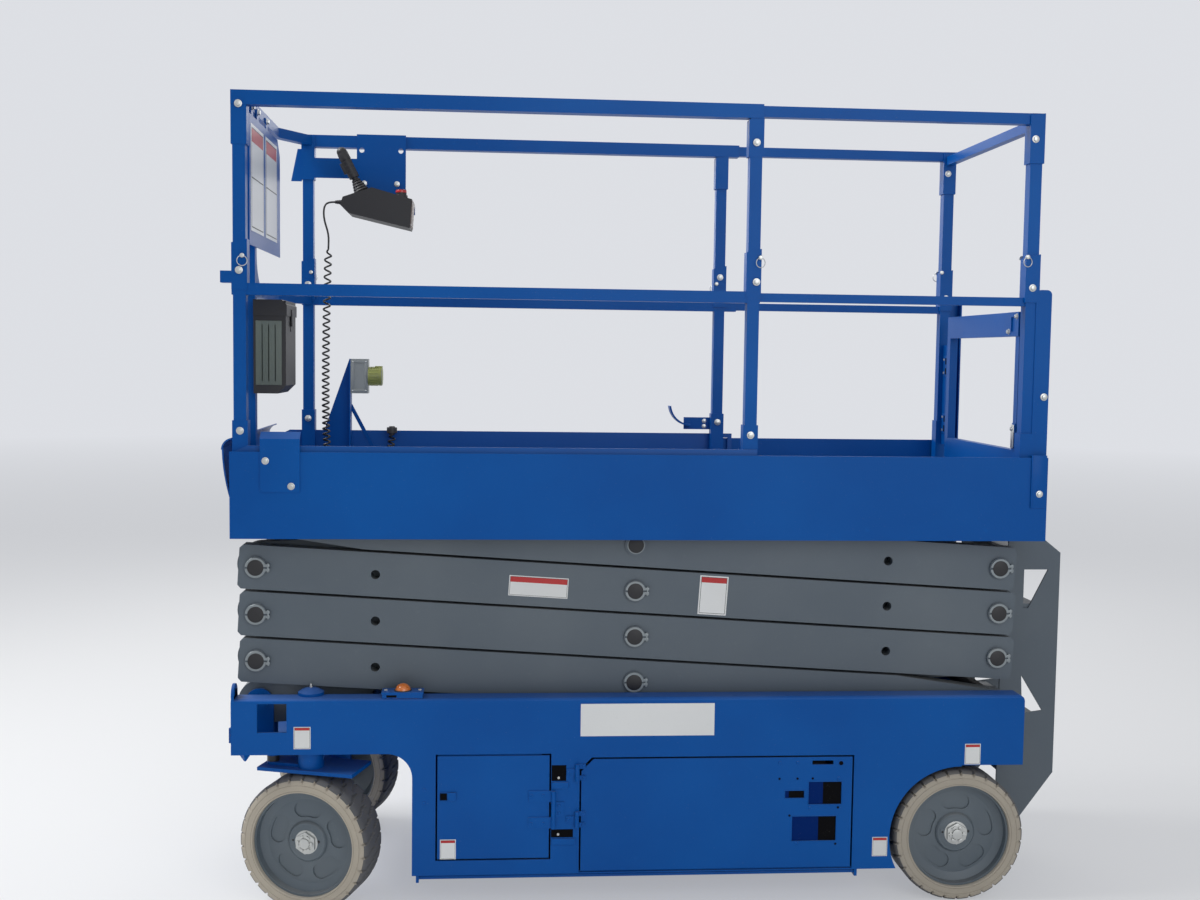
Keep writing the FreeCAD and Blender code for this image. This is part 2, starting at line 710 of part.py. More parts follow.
def slide_blocks(x, z):
    """The two blocks that ride in a pair of tracks, with the axle that carries the arms' sliding ends."""
    half = BLOCK_LEN / 2
    block = side_box(LEFT, x - half, x + half, BLOCK_Y[0], BLOCK_Y[1], z - BLOCK_H / 2, z + BLOCK_H / 2)
    journal = BLOCK_Y[0] + BLOCK_PIN_IN
    axle_tube = pin(x, z, -BLOCK_Y[0] + SEAT, BLOCK_Y[0] - SEAT, PIN_R)
    return fuse([block, mirrored(block), axle_tube, pin(x, z, -journal, journal, BLOCK_PIN_R)])


def slide_tracks(z, x_rear, y_out):
    """Both slide tracks: an upper and a lower flange on each side."""
    pieces = []
    gap = BLOCK_H / 2 + TRACK_GAP
    for z0 in (z - gap - TRACK_T, z + gap):
        flange = side_box(LEFT, TRACK_FRONT, x_rear, BLOCK_Y[0] - TRACK_LIP, y_out, z0, z0 + TRACK_T)
        pieces += [flange, mirrored(flange)]
    return Part.makeCompound(pieces)


def lift_cylinder():
    """Barrel and rod, drawn along their line from the barrel's pin."""
    start = on_arm("inner", 1, BARREL_PIN_U)
    end = on_arm("inner", 3, ROD_PIN_U)
    a = V(start[0], 0, start[1])
    b = V(end[0], 0, end[1])
    line = b.sub(a)
    line.normalize()
    eye = pin(a.x, a.z, -BARREL_EYE_W / 2, BARREL_EYE_W / 2, EYE_R)
    mouth = a.add(V(line).multiply(BARREL_LEN))
    neck = box(0, BARREL_START + 5, -BARREL_EYE_W / 2 + 10, BARREL_EYE_W / 2 - 10, -EYE_R + 4, EYE_R - 4)
    neck.rotate(V(0, 0, 0), AXIS_Y, -math.degrees(math.atan2(line.z, line.x)))
    neck.translate(a)
    barrel = fuse([eye, neck, rod(a.add(V(line).multiply(BARREL_START)), mouth, BARREL_R)])
    barrel = barrel.cut(pin(a.x, a.z, -60, 60, CYL_PIN_R + RUN))
    barrel = barrel.cut(rod(a.add(V(line).multiply(BARREL_START + 40)), mouth.add(line), ROD_R + RUN))
    rod_start = a.add(V(line).multiply(BARREL_START + 50))
    stem = rod(rod_start, b.sub(V(line).multiply(EYE_R - 6)), ROD_R)
    eye_end = pin(b.x, b.z, -ROD_EYE_W / 2, ROD_EYE_W / 2, EYE_R)
    own_pin = pin(b.x, b.z, -ROD_EYE_W / 2 - LUG_GAP, ROD_EYE_W / 2 + LUG_GAP, CYL_PIN_R)
    return barrel, fuse([stem, eye_end, own_pin])


# Chassis
def tray_outline(gap=0.0):
    """Outline of a tray's door, or of its opening with a gap all round."""
    x0, x1 = TRAY_X[0] - gap, TRAY_X[1] + gap
    z0, z1 = TRAY_Z[0] - gap, TRAY_Z[1] + gap
    return [(x0, z0), (x1, z0), (x1, z1), (x0 + TRAY_CORNER, z1), (x0, z1 - TRAY_CORNER)]


def chassis_side():
    """The left side plate with both arches and both door openings."""
    y0, y1 = -HALF_WIDTH, -SIDE_IN
    front = box(CHASSIS_FRONT, ARCH_X, y0, y1, FRONT_SILL, CHASSIS_TOP)
    middle = box(ARCH_X, WHEEL_REAR_X, y0, y1, CHASSIS_BOTTOM, CHASSIS_TOP)
    rear = box(WHEEL_REAR_X, CHASSIS_REAR, y0, y1, REAR_SILL, CHASSIS_TOP)
    corner = box(ARCH_X - ARCH_ROUND, ARCH_X, y0, y1, FRONT_SILL - ARCH_ROUND, FRONT_SILL)
    past = (SIDE_IN - OVER, HALF_WIDTH + OVER)
    corner = corner.cut(pin(ARCH_X - ARCH_ROUND, FRONT_SILL - ARCH_ROUND, *past, ARCH_ROUND, LEFT))
    plate = fuse([front, middle, rear, corner])
    plate = plate.cut(pin(WHEEL_REAR_X, TYRE_R, *past, REAR_ARCH_R, LEFT))
    hole_x = (SQUARE_HOLE_X, SQUARE_HOLE_X + SQUARE_HOLE)
    hole_z = (SQUARE_HOLE_Z, SQUARE_HOLE_Z + SQUARE_HOLE)
    windows = [(SMALL_X, SMALL_Z, PANEL_GAP), (hole_x, hole_z, 0)]
    for (x0, x1), (z0, z1), gap in windows:
        plate = plate.cut(side_box(LEFT, x0 - gap, x1 + gap, *past, z0 - gap, z1 + gap))
    return plate.cut(slab(tray_outline(PANEL_GAP), -past[0], -past[1]))


def chassis_sides():
    """Both side plates, each with its turned-in top flange."""
    under = CHASSIS_TOP - PLATE
    flange = side_box(LEFT, CHASSIS_FRONT, CHASSIS_REAR, SIDE_FLANGE_IN, SIDE_IN + OVER, under, CHASSIS_TOP)
    sleeve_hole = upright(WHEEL_FRONT_X, -KING_Y, under - OVER, CHASSIS_TOP + OVER, SLEEVE_R + SEAT)
    side = fuse([chassis_side(), flange]).cut(sleeve_hole)
    r = TOP_BEND_R
    y, z = -HALF_WIDTH, CHASSIS_TOP
    edge = box(CHASSIS_FRONT, CHASSIS_REAR, y - OVER, y + r, z - r, z + OVER)
    edge = edge.cut(rod(V(CHASSIS_FRONT, y + r, z - r), V(CHASSIS_REAR, y + r, z - r), r))
    r = REAR_CORNER_R
    corner = box(CHASSIS_REAR - r, CHASSIS_REAR + OVER, y - OVER, 0, z - r, z + OVER)
    corner = corner.cut(pin(CHASSIS_REAR - r, z - r, 0, HALF_WIDTH + OVER * 2, r, LEFT))
    return both(side.cut(edge).cut(corner))


def front_bracket(side):
    """The ears and the fixed pin that carry the lowest scissor arms at the front."""
    pieces = []
    for y0, y1 in BRACKET_Y:
        pieces.append(side_box(side, PIN_FRONT_X - BRACKET_R, PIN_FRONT_X + BRACKET_R, y0, y1,
                               DECK_PLATE_Z + PLATE - OVER, PIN_BASE_Z))
        pieces.append(pin(PIN_FRONT_X, PIN_BASE_Z, y0, y1, BRACKET_R, side))
    inner, outer = BRACKET_Y[0][0] - BRACKET_PIN_OUT, BRACKET_Y[1][1] + 2 * BRACKET_PIN_OUT
    pieces.append(pin(PIN_FRONT_X, PIN_BASE_Z, inner, outer, PIN_R, side))
    return pieces


def tie_down(side, x0, x1, eye_x):
    """A lug with an eye at a corner of the chassis."""
    z0 = DECK_PLATE_Z + PLATE - OVER
    lug = side_box(side, x0, x1, *TIE_DOWN_Y, z0, z0 + TIE_DOWN_H)
    eye_z = z0 + TIE_DOWN_H / 2
    return lug.cut(pin(eye_x, eye_z, TIE_DOWN_Y[0] - OVER, TIE_DOWN_Y[1] + OVER, TIE_DOWN_EYE_R, side))


def king_sleeve(side):
    """The upright sleeve that a steering yoke turns in, closed by a low dome."""
    y = side * KING_Y
    rim_z = CHASSIS_TOP + CAP_T
    ball_r = (SLEEVE_R ** 2 + DOME_H ** 2) / (2 * DOME_H)
    ball = Part.makeSphere(ball_r, V(WHEEL_FRONT_X, y, rim_z + DOME_H - ball_r))
    dome = ball.common(upright(WHEEL_FRONT_X, y, rim_z - OVER, rim_z + DOME_H + OVER, SLEEVE_R))
    return upright(WHEEL_FRONT_X, y, SLEEVE_BOTTOM, rim_z, SLEEVE_R).fuse(dome)


def chassis_deck():
    """The deck plate between the sides with both end plates, the king sleeves and the arm brackets."""
    inside = SIDE_IN - SEAT
    front, rear = CHASSIS_FRONT, CHASSIS_REAR
    pieces = [box(front, rear, -inside, inside, DECK_PLATE_Z, DECK_PLATE_Z + PLATE)]
    pieces.append(box(front, front + PLATE, -inside, inside, DECK_PLATE_Z, DECK_PLATE_Z + FRONT_PLATE_H))
    pieces.append(box(rear - PLATE, rear, -inside, inside, REAR_SILL, REAR_SILL + REAR_PLATE_H))
    rear_lug = rear + TIE_DOWN_OUT
    for side in SIDES.values():
        pieces.append(king_sleeve(side))
        pieces += front_bracket(side)
        pieces.append(tie_down(side, FRONT_END, front + PLATE, FRONT_END + TIE_DOWN_EYE_IN))
        pieces.append(tie_down(side, rear - PLATE, rear_lug, rear_lug - TIE_DOWN_EYE_IN))
    body = fuse(pieces)
    for side in SIDES.values():
        bottom = SLEEVE_BOTTOM - OVER
        body = body.cut(upright(WHEEL_FRONT_X, side * KING_Y, bottom, bottom + KING_BORE, KING_SHAFT_R + RUN))
    return body


def chassis_belly():
    """The floor plate, its two cross walls and the ears of the pothole guards."""
    inside = SIDE_IN - SEAT
    top = DECK_PLATE_Z - SEAT
    pieces = [box(ARCH_X, BULK_REAR_X + PLATE, -inside, inside, CHASSIS_BOTTOM, CHASSIS_BOTTOM + PLATE)]
    for x in (ARCH_X, BULK_REAR_X):
        pieces.append(box(x, x + PLATE, -inside, inside, CHASSIS_BOTTOM, top))
    return fuse(pieces + guard_ears())


def base_tracks():
    return slide_tracks(PIN_BASE_Z, CHASSIS_REAR - PLATE - SEAT, SIDE_IN - SEAT)


def side_hinges():
    """Fixed knuckles and pins of the tray doors and the small doors."""
    pieces = []
    for side in SIDES.values():
        for x, leaf, levels, height in ((TRAY_HINGE_X, -TRAY_LEAF, TRAY_HINGE_Z, TRAY_HINGE_H),
                                        (SMALL_HINGE_X, TRAY_LEAF, SMALL_HINGE_Z, SMALL_HINGE_H)):
            x0, x1 = sorted((x, x + leaf))
            for z in levels:
                knuckle = height * KNUCKLE
                barrel = upright(x, side * HINGE_Y, z - knuckle, z + knuckle, HINGE_R)
                leaf_y = HALF_WIDTH + SEAT
                plate = side_box(side, x0, x1, leaf_y, leaf_y + LEAF_T, z - knuckle, z + knuckle)
                post = upright(x, side * HINGE_Y, z - height / 2, z + height / 2, HINGE_PIN_R)
                pieces.append(fuse([barrel, plate, post]))
    return Part.makeCompound(pieces)


def moving_knuckles(x, side, levels, height, leaf_x, door_edge):
    """Knuckles above and below each fixed one, with a leaf that reaches over the door."""
    pieces = []
    x0, x1 = sorted((x, leaf_x))
    near, far = sorted((leaf_x, door_edge))
    leaf_out = HALF_WIDTH + SEAT + LEAF_T
    for z in levels:
        knuckle = height * KNUCKLE
        for z0, z1 in ((z - height / 2, z - knuckle - SEAT), (z + knuckle + SEAT, z + height / 2)):
            barrel = upright(x, side * HINGE_Y, z0, z1, HINGE_R)
            leaf = side_box(side, x0, x1, HALF_WIDTH + SEAT, leaf_out, z0, z1)
            pad = side_box(side, near, far, HALF_WIDTH - OVER, leaf_out, z0, z1)
            bore = upright(x, side * HINGE_Y, z0 - OVER, z1 + OVER, HINGE_PIN_R + RUN)
            pieces.append(fuse([barrel, leaf, pad]).cut(bore))
    return pieces


def tray(side):
    """The swing-out tray: its door in the side plate, with pressed recesses and a slot, and its floor."""
    door = slab(tray_outline(), side * SIDE_IN, side * HALF_WIDTH)
    for x0, x1, z0, z1 in TRAY_RECESSES:
        door = door.cut(side_box(side, x0, x1, HALF_WIDTH - RECESS_DEPTH, HALF_WIDTH + OVER, z0, z1))
    x0, x1, z0, z1 = TRAY_SLOT
    door = door.cut(side_box(side, x0, x1, SIDE_IN - OVER, HALF_WIDTH + OVER, z0, z1))
    z0 = TRAY_FLOOR_Z
    floor = side_box(side, *TRAY_FLOOR_X, TRAY_IN, SIDE_IN, z0, z0 + TRAY_FLOOR_T)
    back = side_box(side, *TRAY_FLOOR_X, TRAY_IN, TRAY_IN + TRAY_FLOOR_T, z0, z0 + TRAY_BACK_H)
    leaf_x = TRAY_X[0] + HINGE_R * 2
    knuckles = moving_knuckles(TRAY_HINGE_X, side, TRAY_HINGE_Z, TRAY_HINGE_H, leaf_x, TRAY_X[0])
    x0, z1 = TRAY_X[0], TRAY_Z[1]
    bevelled = slab([(x0, z1 - TRAY_CORNER), (x0 + TRAY_CORNER, z1), (x0, z1)],
                    side * SIDE_IN, side * (HALF_WIDTH + SEAT))
    return fuse([door, floor, back] + knuckles).cut(bevelled)


def tray_load(side):
    """The heavy block that the tray carries."""
    x0, x1 = TRAY_FLOOR_X
    return side_box(side, x0 + LOAD_GAP, x1 - LOAD_GAP, TRAY_IN + LOAD_GAP, SIDE_IN - LOAD_DOOR_GAP,
                    TRAY_FLOOR_Z + TRAY_FLOOR_T + SEAT, LOAD_TOP)


def small_door(side):
    """The small door in front of the tray, with its hinge leaf and its latch plate."""
    door = side_box(side, *SMALL_X, SIDE_IN, HALF_WIDTH, *SMALL_Z)
    latch = side_box(side, *LATCH_X, HALF_WIDTH - OVER, HALF_WIDTH + LATCH_T, *LATCH_Z)
    leaf_x = SMALL_HINGE_X - SMALL_LEAF
    knuckles = moving_knuckles(SMALL_HINGE_X, side, SMALL_HINGE_Z, SMALL_HINGE_H, leaf_x, SMALL_X[1])
    return fuse([door, latch] + knuckles)


# Wheels
def tyre(x, y, out):
    """A solid tyre with round shoulders; out is the side of its outer face."""
    inner = RIM_R + SEAT
    half = TYRE_W / 2
    r = TYRE_ROUND
    k = r * (1 - math.sqrt(0.5))
    points = [(-half, inner), (-half, TYRE_R - r), (-half + k, TYRE_R - k), (-half + r, TYRE_R),
              (half - r, TYRE_R), (half - k, TYRE_R - k), (half, TYRE_R - r), (half, inner)]
    p = [V(0, a, b) for a, b in points]
    edges = [Part.LineSegment(p[0], p[1]).toShape(),
             Part.Arc(p[1], p[2], p[3]).toShape(),
             Part.LineSegment(p[3], p[4]).toShape(),
             Part.Arc(p[4], p[5], p[6]).toShape(),
             Part.LineSegment(p[6], p[7]).toShape(),
             Part.LineSegment(p[7], p[0]).toShape()]
    ring = Part.Face(Part.Wire(edges)).revolve(V(0, 0, 0), AXIS_Y, 360)
    ring.translate(V(x, y, TYRE_R))
    return ring


def kidney(radius, width, angle, depth):
    """A bent panel with round ends about the axis Y, its depth centred on the origin."""
    half = math.radians(angle / 2)
    def at(r, a):
        return V(r * math.sin(a), -depth / 2, r * math.cos(a))
    outer, inner = radius + width / 2, radius - width / 2
    ends = []
    for a in (-half, half):
        tangent = V(math.cos(a), 0, -math.sin(a)).multiply(math.copysign(width / 2, a))
        ends.append(at(radius, a).add(tangent))
    edges = [Part.Arc(at(outer, -half), at(outer, 0), at(outer, half)).toShape(),
             Part.Arc(at(outer, half), ends[1], at(inner, half)).toShape(),
             Part.Arc(at(inner, half), at(inner, 0), at(inner, -half)).toShape(),
             Part.Arc(at(inner, -half), ends[0], at(outer, -half)).toShape()]
    return Part.Face(Part.Wire(edges)).extrude(V(0, depth, 0))


def rim(x, y, out):
    """The wheel: a dished disc with kidney panels in a barrel, and a hub with a bore for the axle."""
    half = RIM_W / 2
    web_out = TYRE_W / 2 - WEB_IN
    web_in = web_out - WEB_T
    hub_out = web_out + HUB_OUT
    hub_in = hub_out - HUB_LEN
    bore = AXLE_R + RUN
    drum = RIM_R - RIM_LIP
    back = [(web_in - DISH, r) for r in DISH_R]
    face = [(web_out - DISH, r) for r in reversed(DISH_R)]
    barrel = [(web_in, drum), (-half, drum), (-half, RIM_R), (half, RIM_R), (half, drum), (web_out, drum)]
    points = [(hub_in, bore), (hub_in, HUB_R), *back, *barrel, *face, (hub_out, HUB_R), (hub_out, bore)]
    wire = Part.makePolygon([V(0, out * a, b) for a, b in points + points[:1]])
    solid = Part.Face(wire).revolve(V(0, 0, 0), AXIS_Y, 360)
    window = kidney(WINDOW_R, WINDOW_W, WINDOW_ANGLE, WINDOW_DEPTH + OVER)
    window.translate(V(0, out * (web_out - DISH - (WINDOW_DEPTH - OVER) / 2), 0))
    for i in range(WINDOWS):
        solid = solid.cut(turned(window, V(0, 0, 0), AXIS_Y, 360 * i / WINDOWS))
    solid.translate(V(x, y, TYRE_R))
    return solid


def axle(x, y, out, inner_end):
    """A stub axle with its nut; inner_end is how far inboard of the wheel plane it starts."""
    hub_out = TYRE_W / 2 - WEB_IN + HUB_OUT
    start = y + out * inner_end
    nut_start, nut_end = y + out * (hub_out + SEAT), y + out * (hub_out + SEAT + NUT_T)
    stub_end = y + out * (hub_out + SEAT + NUT_T + HINGE_R)
    journal_end = y + out * (hub_out - CENTRE_PIN_IN)
    shaft = rod(V(x, start, TYRE_R), V(x, stub_end, TYRE_R), STUB_R)
    journal = rod(V(x, start, TYRE_R), V(x, journal_end, TYRE_R), AXLE_R)
    return fuse([shaft, journal, hexagon(x, nut_start, nut_end, TYRE_R, NUT_R)])


def steered(shape, side):
    return turned(shape, V(WHEEL_FRONT_X, side * KING_Y, 0), AXIS_Z, STEER_REST)


def yoke(side):
    """Steering yoke: shaft and drum, top plate, side plate, drive motor and axle."""
    x = WHEEL_FRONT_X
    y = side * KING_Y
    z1 = YOKE_TOP_Z
    low = z1 - OVER
    top = side_box(side, x - YOKE_TOP_X, x + YOKE_TOP_X, KING_Y - YOKE_TOP_IN, KING_Y + YOKE_TOP_OUT,
                   z1 - YOKE_TOP_T, z1)
    drum = upright(x, y, low, SLEEVE_BOTTOM - SEAT, KING_DRUM_R)
    shaft = upright(x, y, low, low + KING_SHAFT_H, KING_SHAFT_R)
    inner_face = KING_Y - TYRE_W / 2 - YOKE_TYRE_GAP - YOKE_SIDE_T
    outer_face = inner_face + YOKE_SIDE_T
    cheek = side_box(side, x - YOKE_SIDE_X, x + YOKE_SIDE_X, inner_face, outer_face, TYRE_R, low)
    round_end = pin(x, TYRE_R, inner_face, outer_face, YOKE_SIDE_X, side)
    motor = pin(x, TYRE_R, inner_face - MOTOR_LEN, inner_face + OVER, MOTOR_R, side)
    stub = axle(x, side * KING_Y, side, inner_face - KING_Y)
    arm_top = z1 + STEER_ARM_T
    lever = side_box(side, x - STEER_ARM, x, KING_Y - STEER_ARM_W / 2, KING_Y + STEER_ARM_W / 2, low, arm_top)
    lever_end = upright(x - STEER_ARM, y, low, arm_top, STEER_ARM_W / 2)
    pin_up = upright(x - STEER_ARM, y, z1, arm_top + SEAT + TIE_EYE_T + SEAT, TIE_PIN_R)
    return steered(fuse([top, drum, shaft, cheek, round_end, motor, stub, lever, lever_end, pin_up]), side)


def lever_pin(side):
    """Where a steering lever's pin stands at rest."""
    a = math.radians(STEER_REST)
    return (WHEEL_FRONT_X - STEER_ARM * math.cos(a), side * KING_Y - STEER_ARM * math.sin(a))


def tie_rod():
    z = YOKE_TOP_Z + STEER_ARM_T + SEAT
    pieces = []
    ends = [lever_pin(side) for side in (LEFT, RIGHT)]
    for x, y in ends:
        pieces.append(Part.makeCylinder(TIE_EYE_R, TIE_EYE_T, V(x, y, z)))
    middle = z + TIE_EYE_T / 2
    bar = rod(V(ends[0][0], ends[0][1], middle), V(ends[1][0], ends[1][1], middle), TIE_R)
    body = fuse(pieces + [bar])
    for x, y in ends:
        body = body.cut(Part.makeCylinder(TIE_PIN_R + RUN, 60, V(x, y, z - 20)))
    return body


def rear_axle(side):
    """A hanger plate with its stub axle for one rear wheel."""
    x = WHEEL_REAR_X
    y0, y1 = REAR_MOUNT_Y
    plate = side_box(side, x - REAR_MOUNT_R, x + REAR_MOUNT_R, y0, y1, TYRE_R, DECK_PLATE_Z - SEAT)
    end = pin(x, TYRE_R, y0, y1, REAR_MOUNT_R, side)
    stub = axle(x, side * WHEEL_Y, side, y0 - WHEEL_Y)
    return fuse([plate, end, stub])


# Platform
def platform_skirts():
    """Both side plates of the platform: toe board above the deck, skirt below it."""
    return both(side_box(LEFT, DECK_FRONT, DECK_REAR, SKIRT_IN, HALF_WIDTH, SKIRT_BOTTOM, SKIRT_TOP))


def platform_deck():
    """The deck plate, its end channels and the ears of the top front pins."""
    inside = SKIRT_IN - SEAT
    under = DECK_TOP - DECK_T
    pieces = [box(DECK_FRONT, DECK_REAR, -inside, inside, under, DECK_TOP)]
    for x in (DECK_FRONT, DECK_REAR - END_T):
        pieces.append(box(x, x + END_T, -inside, inside, SKIRT_BOTTOM, under + OVER))
    top_z = level_z(LEVELS)
    for side in SIDES.values():
        for y0, y1 in TOP_EAR_Y:
            x0, x1 = PIN_FRONT_X - TOP_EAR_R, PIN_FRONT_X + TOP_EAR_R
            ear = side_box(side, x0, x1, y0, y1, top_z, under + OVER)
            boss = pin(PIN_FRONT_X, top_z, y0, y1, TOP_EAR_R, side)
            bore = pin(PIN_FRONT_X, top_z, y0 - OVER, y1 + OVER, PIN_R + RUN, side)
            pieces.append(fuse([ear, boss]).cut(bore))
    return fuse(pieces)


def top_tracks():
    return slide_tracks(level_z(LEVELS), DECK_REAR - END_T - SEAT, SKIRT_IN - SEAT)


def sleeves(side, x, floor, foot_top, top_z, y_out):
    """Foot, hinge and top sleeve of a post, each with a slanted top."""
    hinge0, hinge1 = (MID_RAIL_TOP + h for h in HINGE_SLEEVE)
    rows = ((floor, foot_top, 0.0), (hinge0, hinge1, SLEEVE_SLANT),
            (RAIL_TOP - TOP_SLEEVE_H, top_z, SLEEVE_SLANT / 2))
    half = SLEEVE / 2
    pieces = []
    for z0, z1, slant in rows:
        outline = [(x - half, z0), (x + half, z0), (x + half, z1), (x - half, z1 - slant)]
        pieces.append(slab(outline, side * (RAIL_Y - half), side * min(RAIL_Y + half, y_out)))
    return pieces


def rear_channel(side):
    """The upright channel behind a rear post, its outer wall rounded at the top."""
    x0 = REAR_POST_X + POST / 2 - CHANNEL_T
    x1 = DECK_REAR
    z0 = DECK_TOP + SEAT
    z1 = MID_RAIL_TOP + CHANNEL_UP
    y1 = RAIL_Y + POST / 2 + CHANNEL_T - OVER
    wall = side_box(side, x0, x1, y1 - CHANNEL_T, y1, z0, z1 - CHANNEL_ROUND)
    r = CHANNEL_ROUND
    cap = side_box(side, x0 + r, x1 - r, y1 - CHANNEL_T, y1, z0, z1)
    rounds = [pin(x, z1 - r, y1 - CHANNEL_T, y1, r, side) for x in (x0 + r, x1 - r)]
    back = side_box(side, x1 - CHANNEL_T, x1, y1 - CHANNEL_IN, y1, z0, z1 - CHANNEL_ROUND)
    return [fuse([wall, cap] + rounds), back]


def gate_mount():
    """The plate on the right rear post with the fixed knuckles and pins of the gate's hinges."""
    x = REAR_POST_X
    y0, y1 = GATE_HINGE_Y + HINGE_R + SEAT, RAIL_Y - POST / 2 + OVER
    z0, z1 = GATE_HINGE_Z[0] - GATE_HINGE_H, GATE_HINGE_Z[1] + GATE_HINGE_H
    x0, x1 = x - GATE_PLATE_T, x + GATE_PLATE_T
    pieces = [box(x0, x1, y0, y1, z0, z1)]
    knuckle = GATE_HINGE_H * KNUCKLE
    for z in GATE_HINGE_Z:
        pieces.append(upright(x, GATE_HINGE_Y, z - knuckle, z + knuckle, HINGE_R))
        pieces.append(box(x0, x1, GATE_HINGE_Y, y0 + OVER, z - knuckle, z + knuckle))
        pieces.append(upright(x, GATE_HINGE_Y, z - GATE_HINGE_H / 2, z + GATE_HINGE_H / 2, HINGE_PIN_R))
    return pieces


def main_rail(side):
    """Rear post with the slim top and mid rails that run inside the extension's rails."""
    half = POST / 2
    top_z = RAIL_TOP - (TOP_TUBE - TOP_INNER) / 2
    mid_z = MID_RAIL_TOP - (MID_TUBE - MID_INNER) / 2
    x = REAR_POST_X
    pieces = [side_box(side, x - half, x + half, RAIL_Y - half, RAIL_Y + half, DECK_TOP + SEAT, top_z)]
    pieces += sleeves(side, x, DECK_TOP + SEAT, SKIRT_TOP + FOOT_SLEEVE_UP, top_z, RAIL_Y + SLEEVE / 2)
    for z1, size in ((top_z, TOP_INNER), (mid_z, MID_INNER)):
        pieces.append(side_box(side, MAIN_RAIL_FRONT, x, RAIL_Y - size / 2, RAIL_Y + size / 2, z1 - size, z1))
    pieces += rear_channel(side)
    if side == RIGHT:
        pieces += gate_mount()
    return fuse(pieces)


def gate():
    """Entry gate on the right rear post, opening inwards: frame, kick plate, latch plate and handle."""
    x0, x1 = REAR_POST_X - GATE_T / 2, REAR_POST_X + GATE_T / 2
    hinge_side = GATE_HINGE_Y - GATE_STILE_IN
    bottom = DECK_TOP + GATE_BOTTOM_GAP
    top_rail = box(x0, x1, GATE_END_Y, hinge_side, GATE_TOP - GATE_RAIL_H, GATE_TOP)
    kick = box(x0, x0 + GATE_KICK_T, GATE_END_Y, hinge_side, bottom, GATE_KICK_TOP)
    lip = box(x0, x1, GATE_END_Y, hinge_side, GATE_KICK_TOP - GATE_KICK_T, GATE_KICK_TOP)
    starts = (GATE_END_Y, hinge_side - GATE_STILE)
    stiles = [box(x0, x1, y0, y0 + GATE_STILE, bottom, GATE_TOP) for y0 in starts]
    plate_x = x0 - GATE_KICK_T
    plate = box(plate_x, x0 + OVER, GATE_END_Y, GATE_END_Y + GATE_LATCH_W, GATE_TOP - GATE_RAIL_H, GATE_TOP)
    handle = box(plate_x, x0 + OVER, GATE_END_Y, GATE_END_Y + GATE_HANDLE[0],
                 GATE_KICK_TOP, GATE_KICK_TOP + GATE_HANDLE[1])
    pieces = [top_rail, kick, lip, plate, handle] + stiles
    knuckle = GATE_HINGE_H * KNUCKLE
    bores = []
    for z in GATE_HINGE_Z:
        half = GATE_HINGE_H / 2
        for z0, z1 in ((z - half, z - knuckle - SEAT), (z + knuckle + SEAT, z + half)):
            pieces.append(upright(REAR_POST_X, GATE_HINGE_Y, z0, z1, HINGE_R))
            pieces.append(box(REAR_POST_X - GATE_PLATE_T, REAR_POST_X + GATE_PLATE_T, hinge_side - OVER,
                              GATE_HINGE_Y, z0, z1))
            bores.append(upright(REAR_POST_X, GATE_HINGE_Y, z0 - OVER, z1 + OVER, HINGE_PIN_R + RUN))
    slot_y = GATE_END_Y + GATE_LATCH_W / 2
    middle = GATE_TOP - GATE_RAIL_H / 2
    bores.append(box(plate_x - OVER, x0, slot_y - GATE_SLOT[0] / 2, slot_y + GATE_SLOT[0] / 2,
                     middle - GATE_SLOT[1] / 2, middle + GATE_SLOT[1] / 2))
    return cut(fuse(pieces), bores)


def entry_bar():
    """The bar across the entry, level with the top rails."""
    reach = RAIL_Y - SLEEVE / 2 - SEAT
    z1 = RAIL_TOP - BAR_DOWN
    return box(REAR_POST_X - BAR_W / 2, REAR_POST_X + BAR_W / 2, -reach, reach, z1 - BAR_H, z1)


def extension_deck():
    """The roll-out deck: plate, side and front toe boards with a curved nose, and the cord's lower clamp."""
    z0 = DECK_TOP + EXT_LIFT
    pieces = []
    for side, rear in zip((LEFT, RIGHT), EXT_REAR):
        bevel_x, bevel_z = EXT_CORNER
        outline = [(DECK_FRONT, z0), (rear, z0), (rear, EXT_TOP), (DECK_FRONT + bevel_x, EXT_TOP),
                   (DECK_FRONT, EXT_TOP - bevel_z)]
        pieces.append(slab(outline, side * EXT_IN, side * EXT_SIDE_Y))
        runner = (DECK_FRONT + NOSE_UP, EXT_REAR[0], *RUNNER_Y, DECK_TOP + SEAT, z0 + OVER)
        pieces.append(side_box(side, *runner))
    pieces.append(box(DECK_FRONT, EXT_REAR[0], -EXT_IN, EXT_IN, z0, EXT_FLOOR))
    low = (DECK_FRONT + OVER, z0 + OVER)
    middle = (DECK_FRONT - NOSE_BULGE, (z0 + EXT_TOP) / 2)
    high = (FRONT_END + NOSE_GAP, EXT_TOP - NOSE_DROP + EXT_T)
    pieces.append(curved_strip(low, middle, high, EXT_T, -EXT_IN, EXT_IN))
    lip = (FRONT_END, EXT_TOP - NOSE_DROP)
    lip_middle = (FRONT_END + NOSE_BULGE / 2, EXT_TOP + NOSE_UP / 2)
    lip_end = (DECK_FRONT + NOSE_GAP, EXT_TOP + NOSE_UP)
    pieces.append(curved_strip(lip, lip_middle, lip_end, EXT_T, -EXT_IN, EXT_IN))
    x, y, z = COIL_ROUTE[-1]
    pieces.append(upright(x, y, z, z + CLAMP_H, CLAMP_R))
    pieces.append(box(x - CLAMP_R, x + CLAMP_R, y, EXT_IN + OVER, z, EXT_TOP))
    body = fuse(pieces)
    a0, a1 = ARCH_CUT_X
    return body.cut(box(a0, a1, EXT_IN - OVER, EXT_SIDE_Y + OVER, EXT_FLOOR, EXT_TOP - ARCH_CUT_TOP))


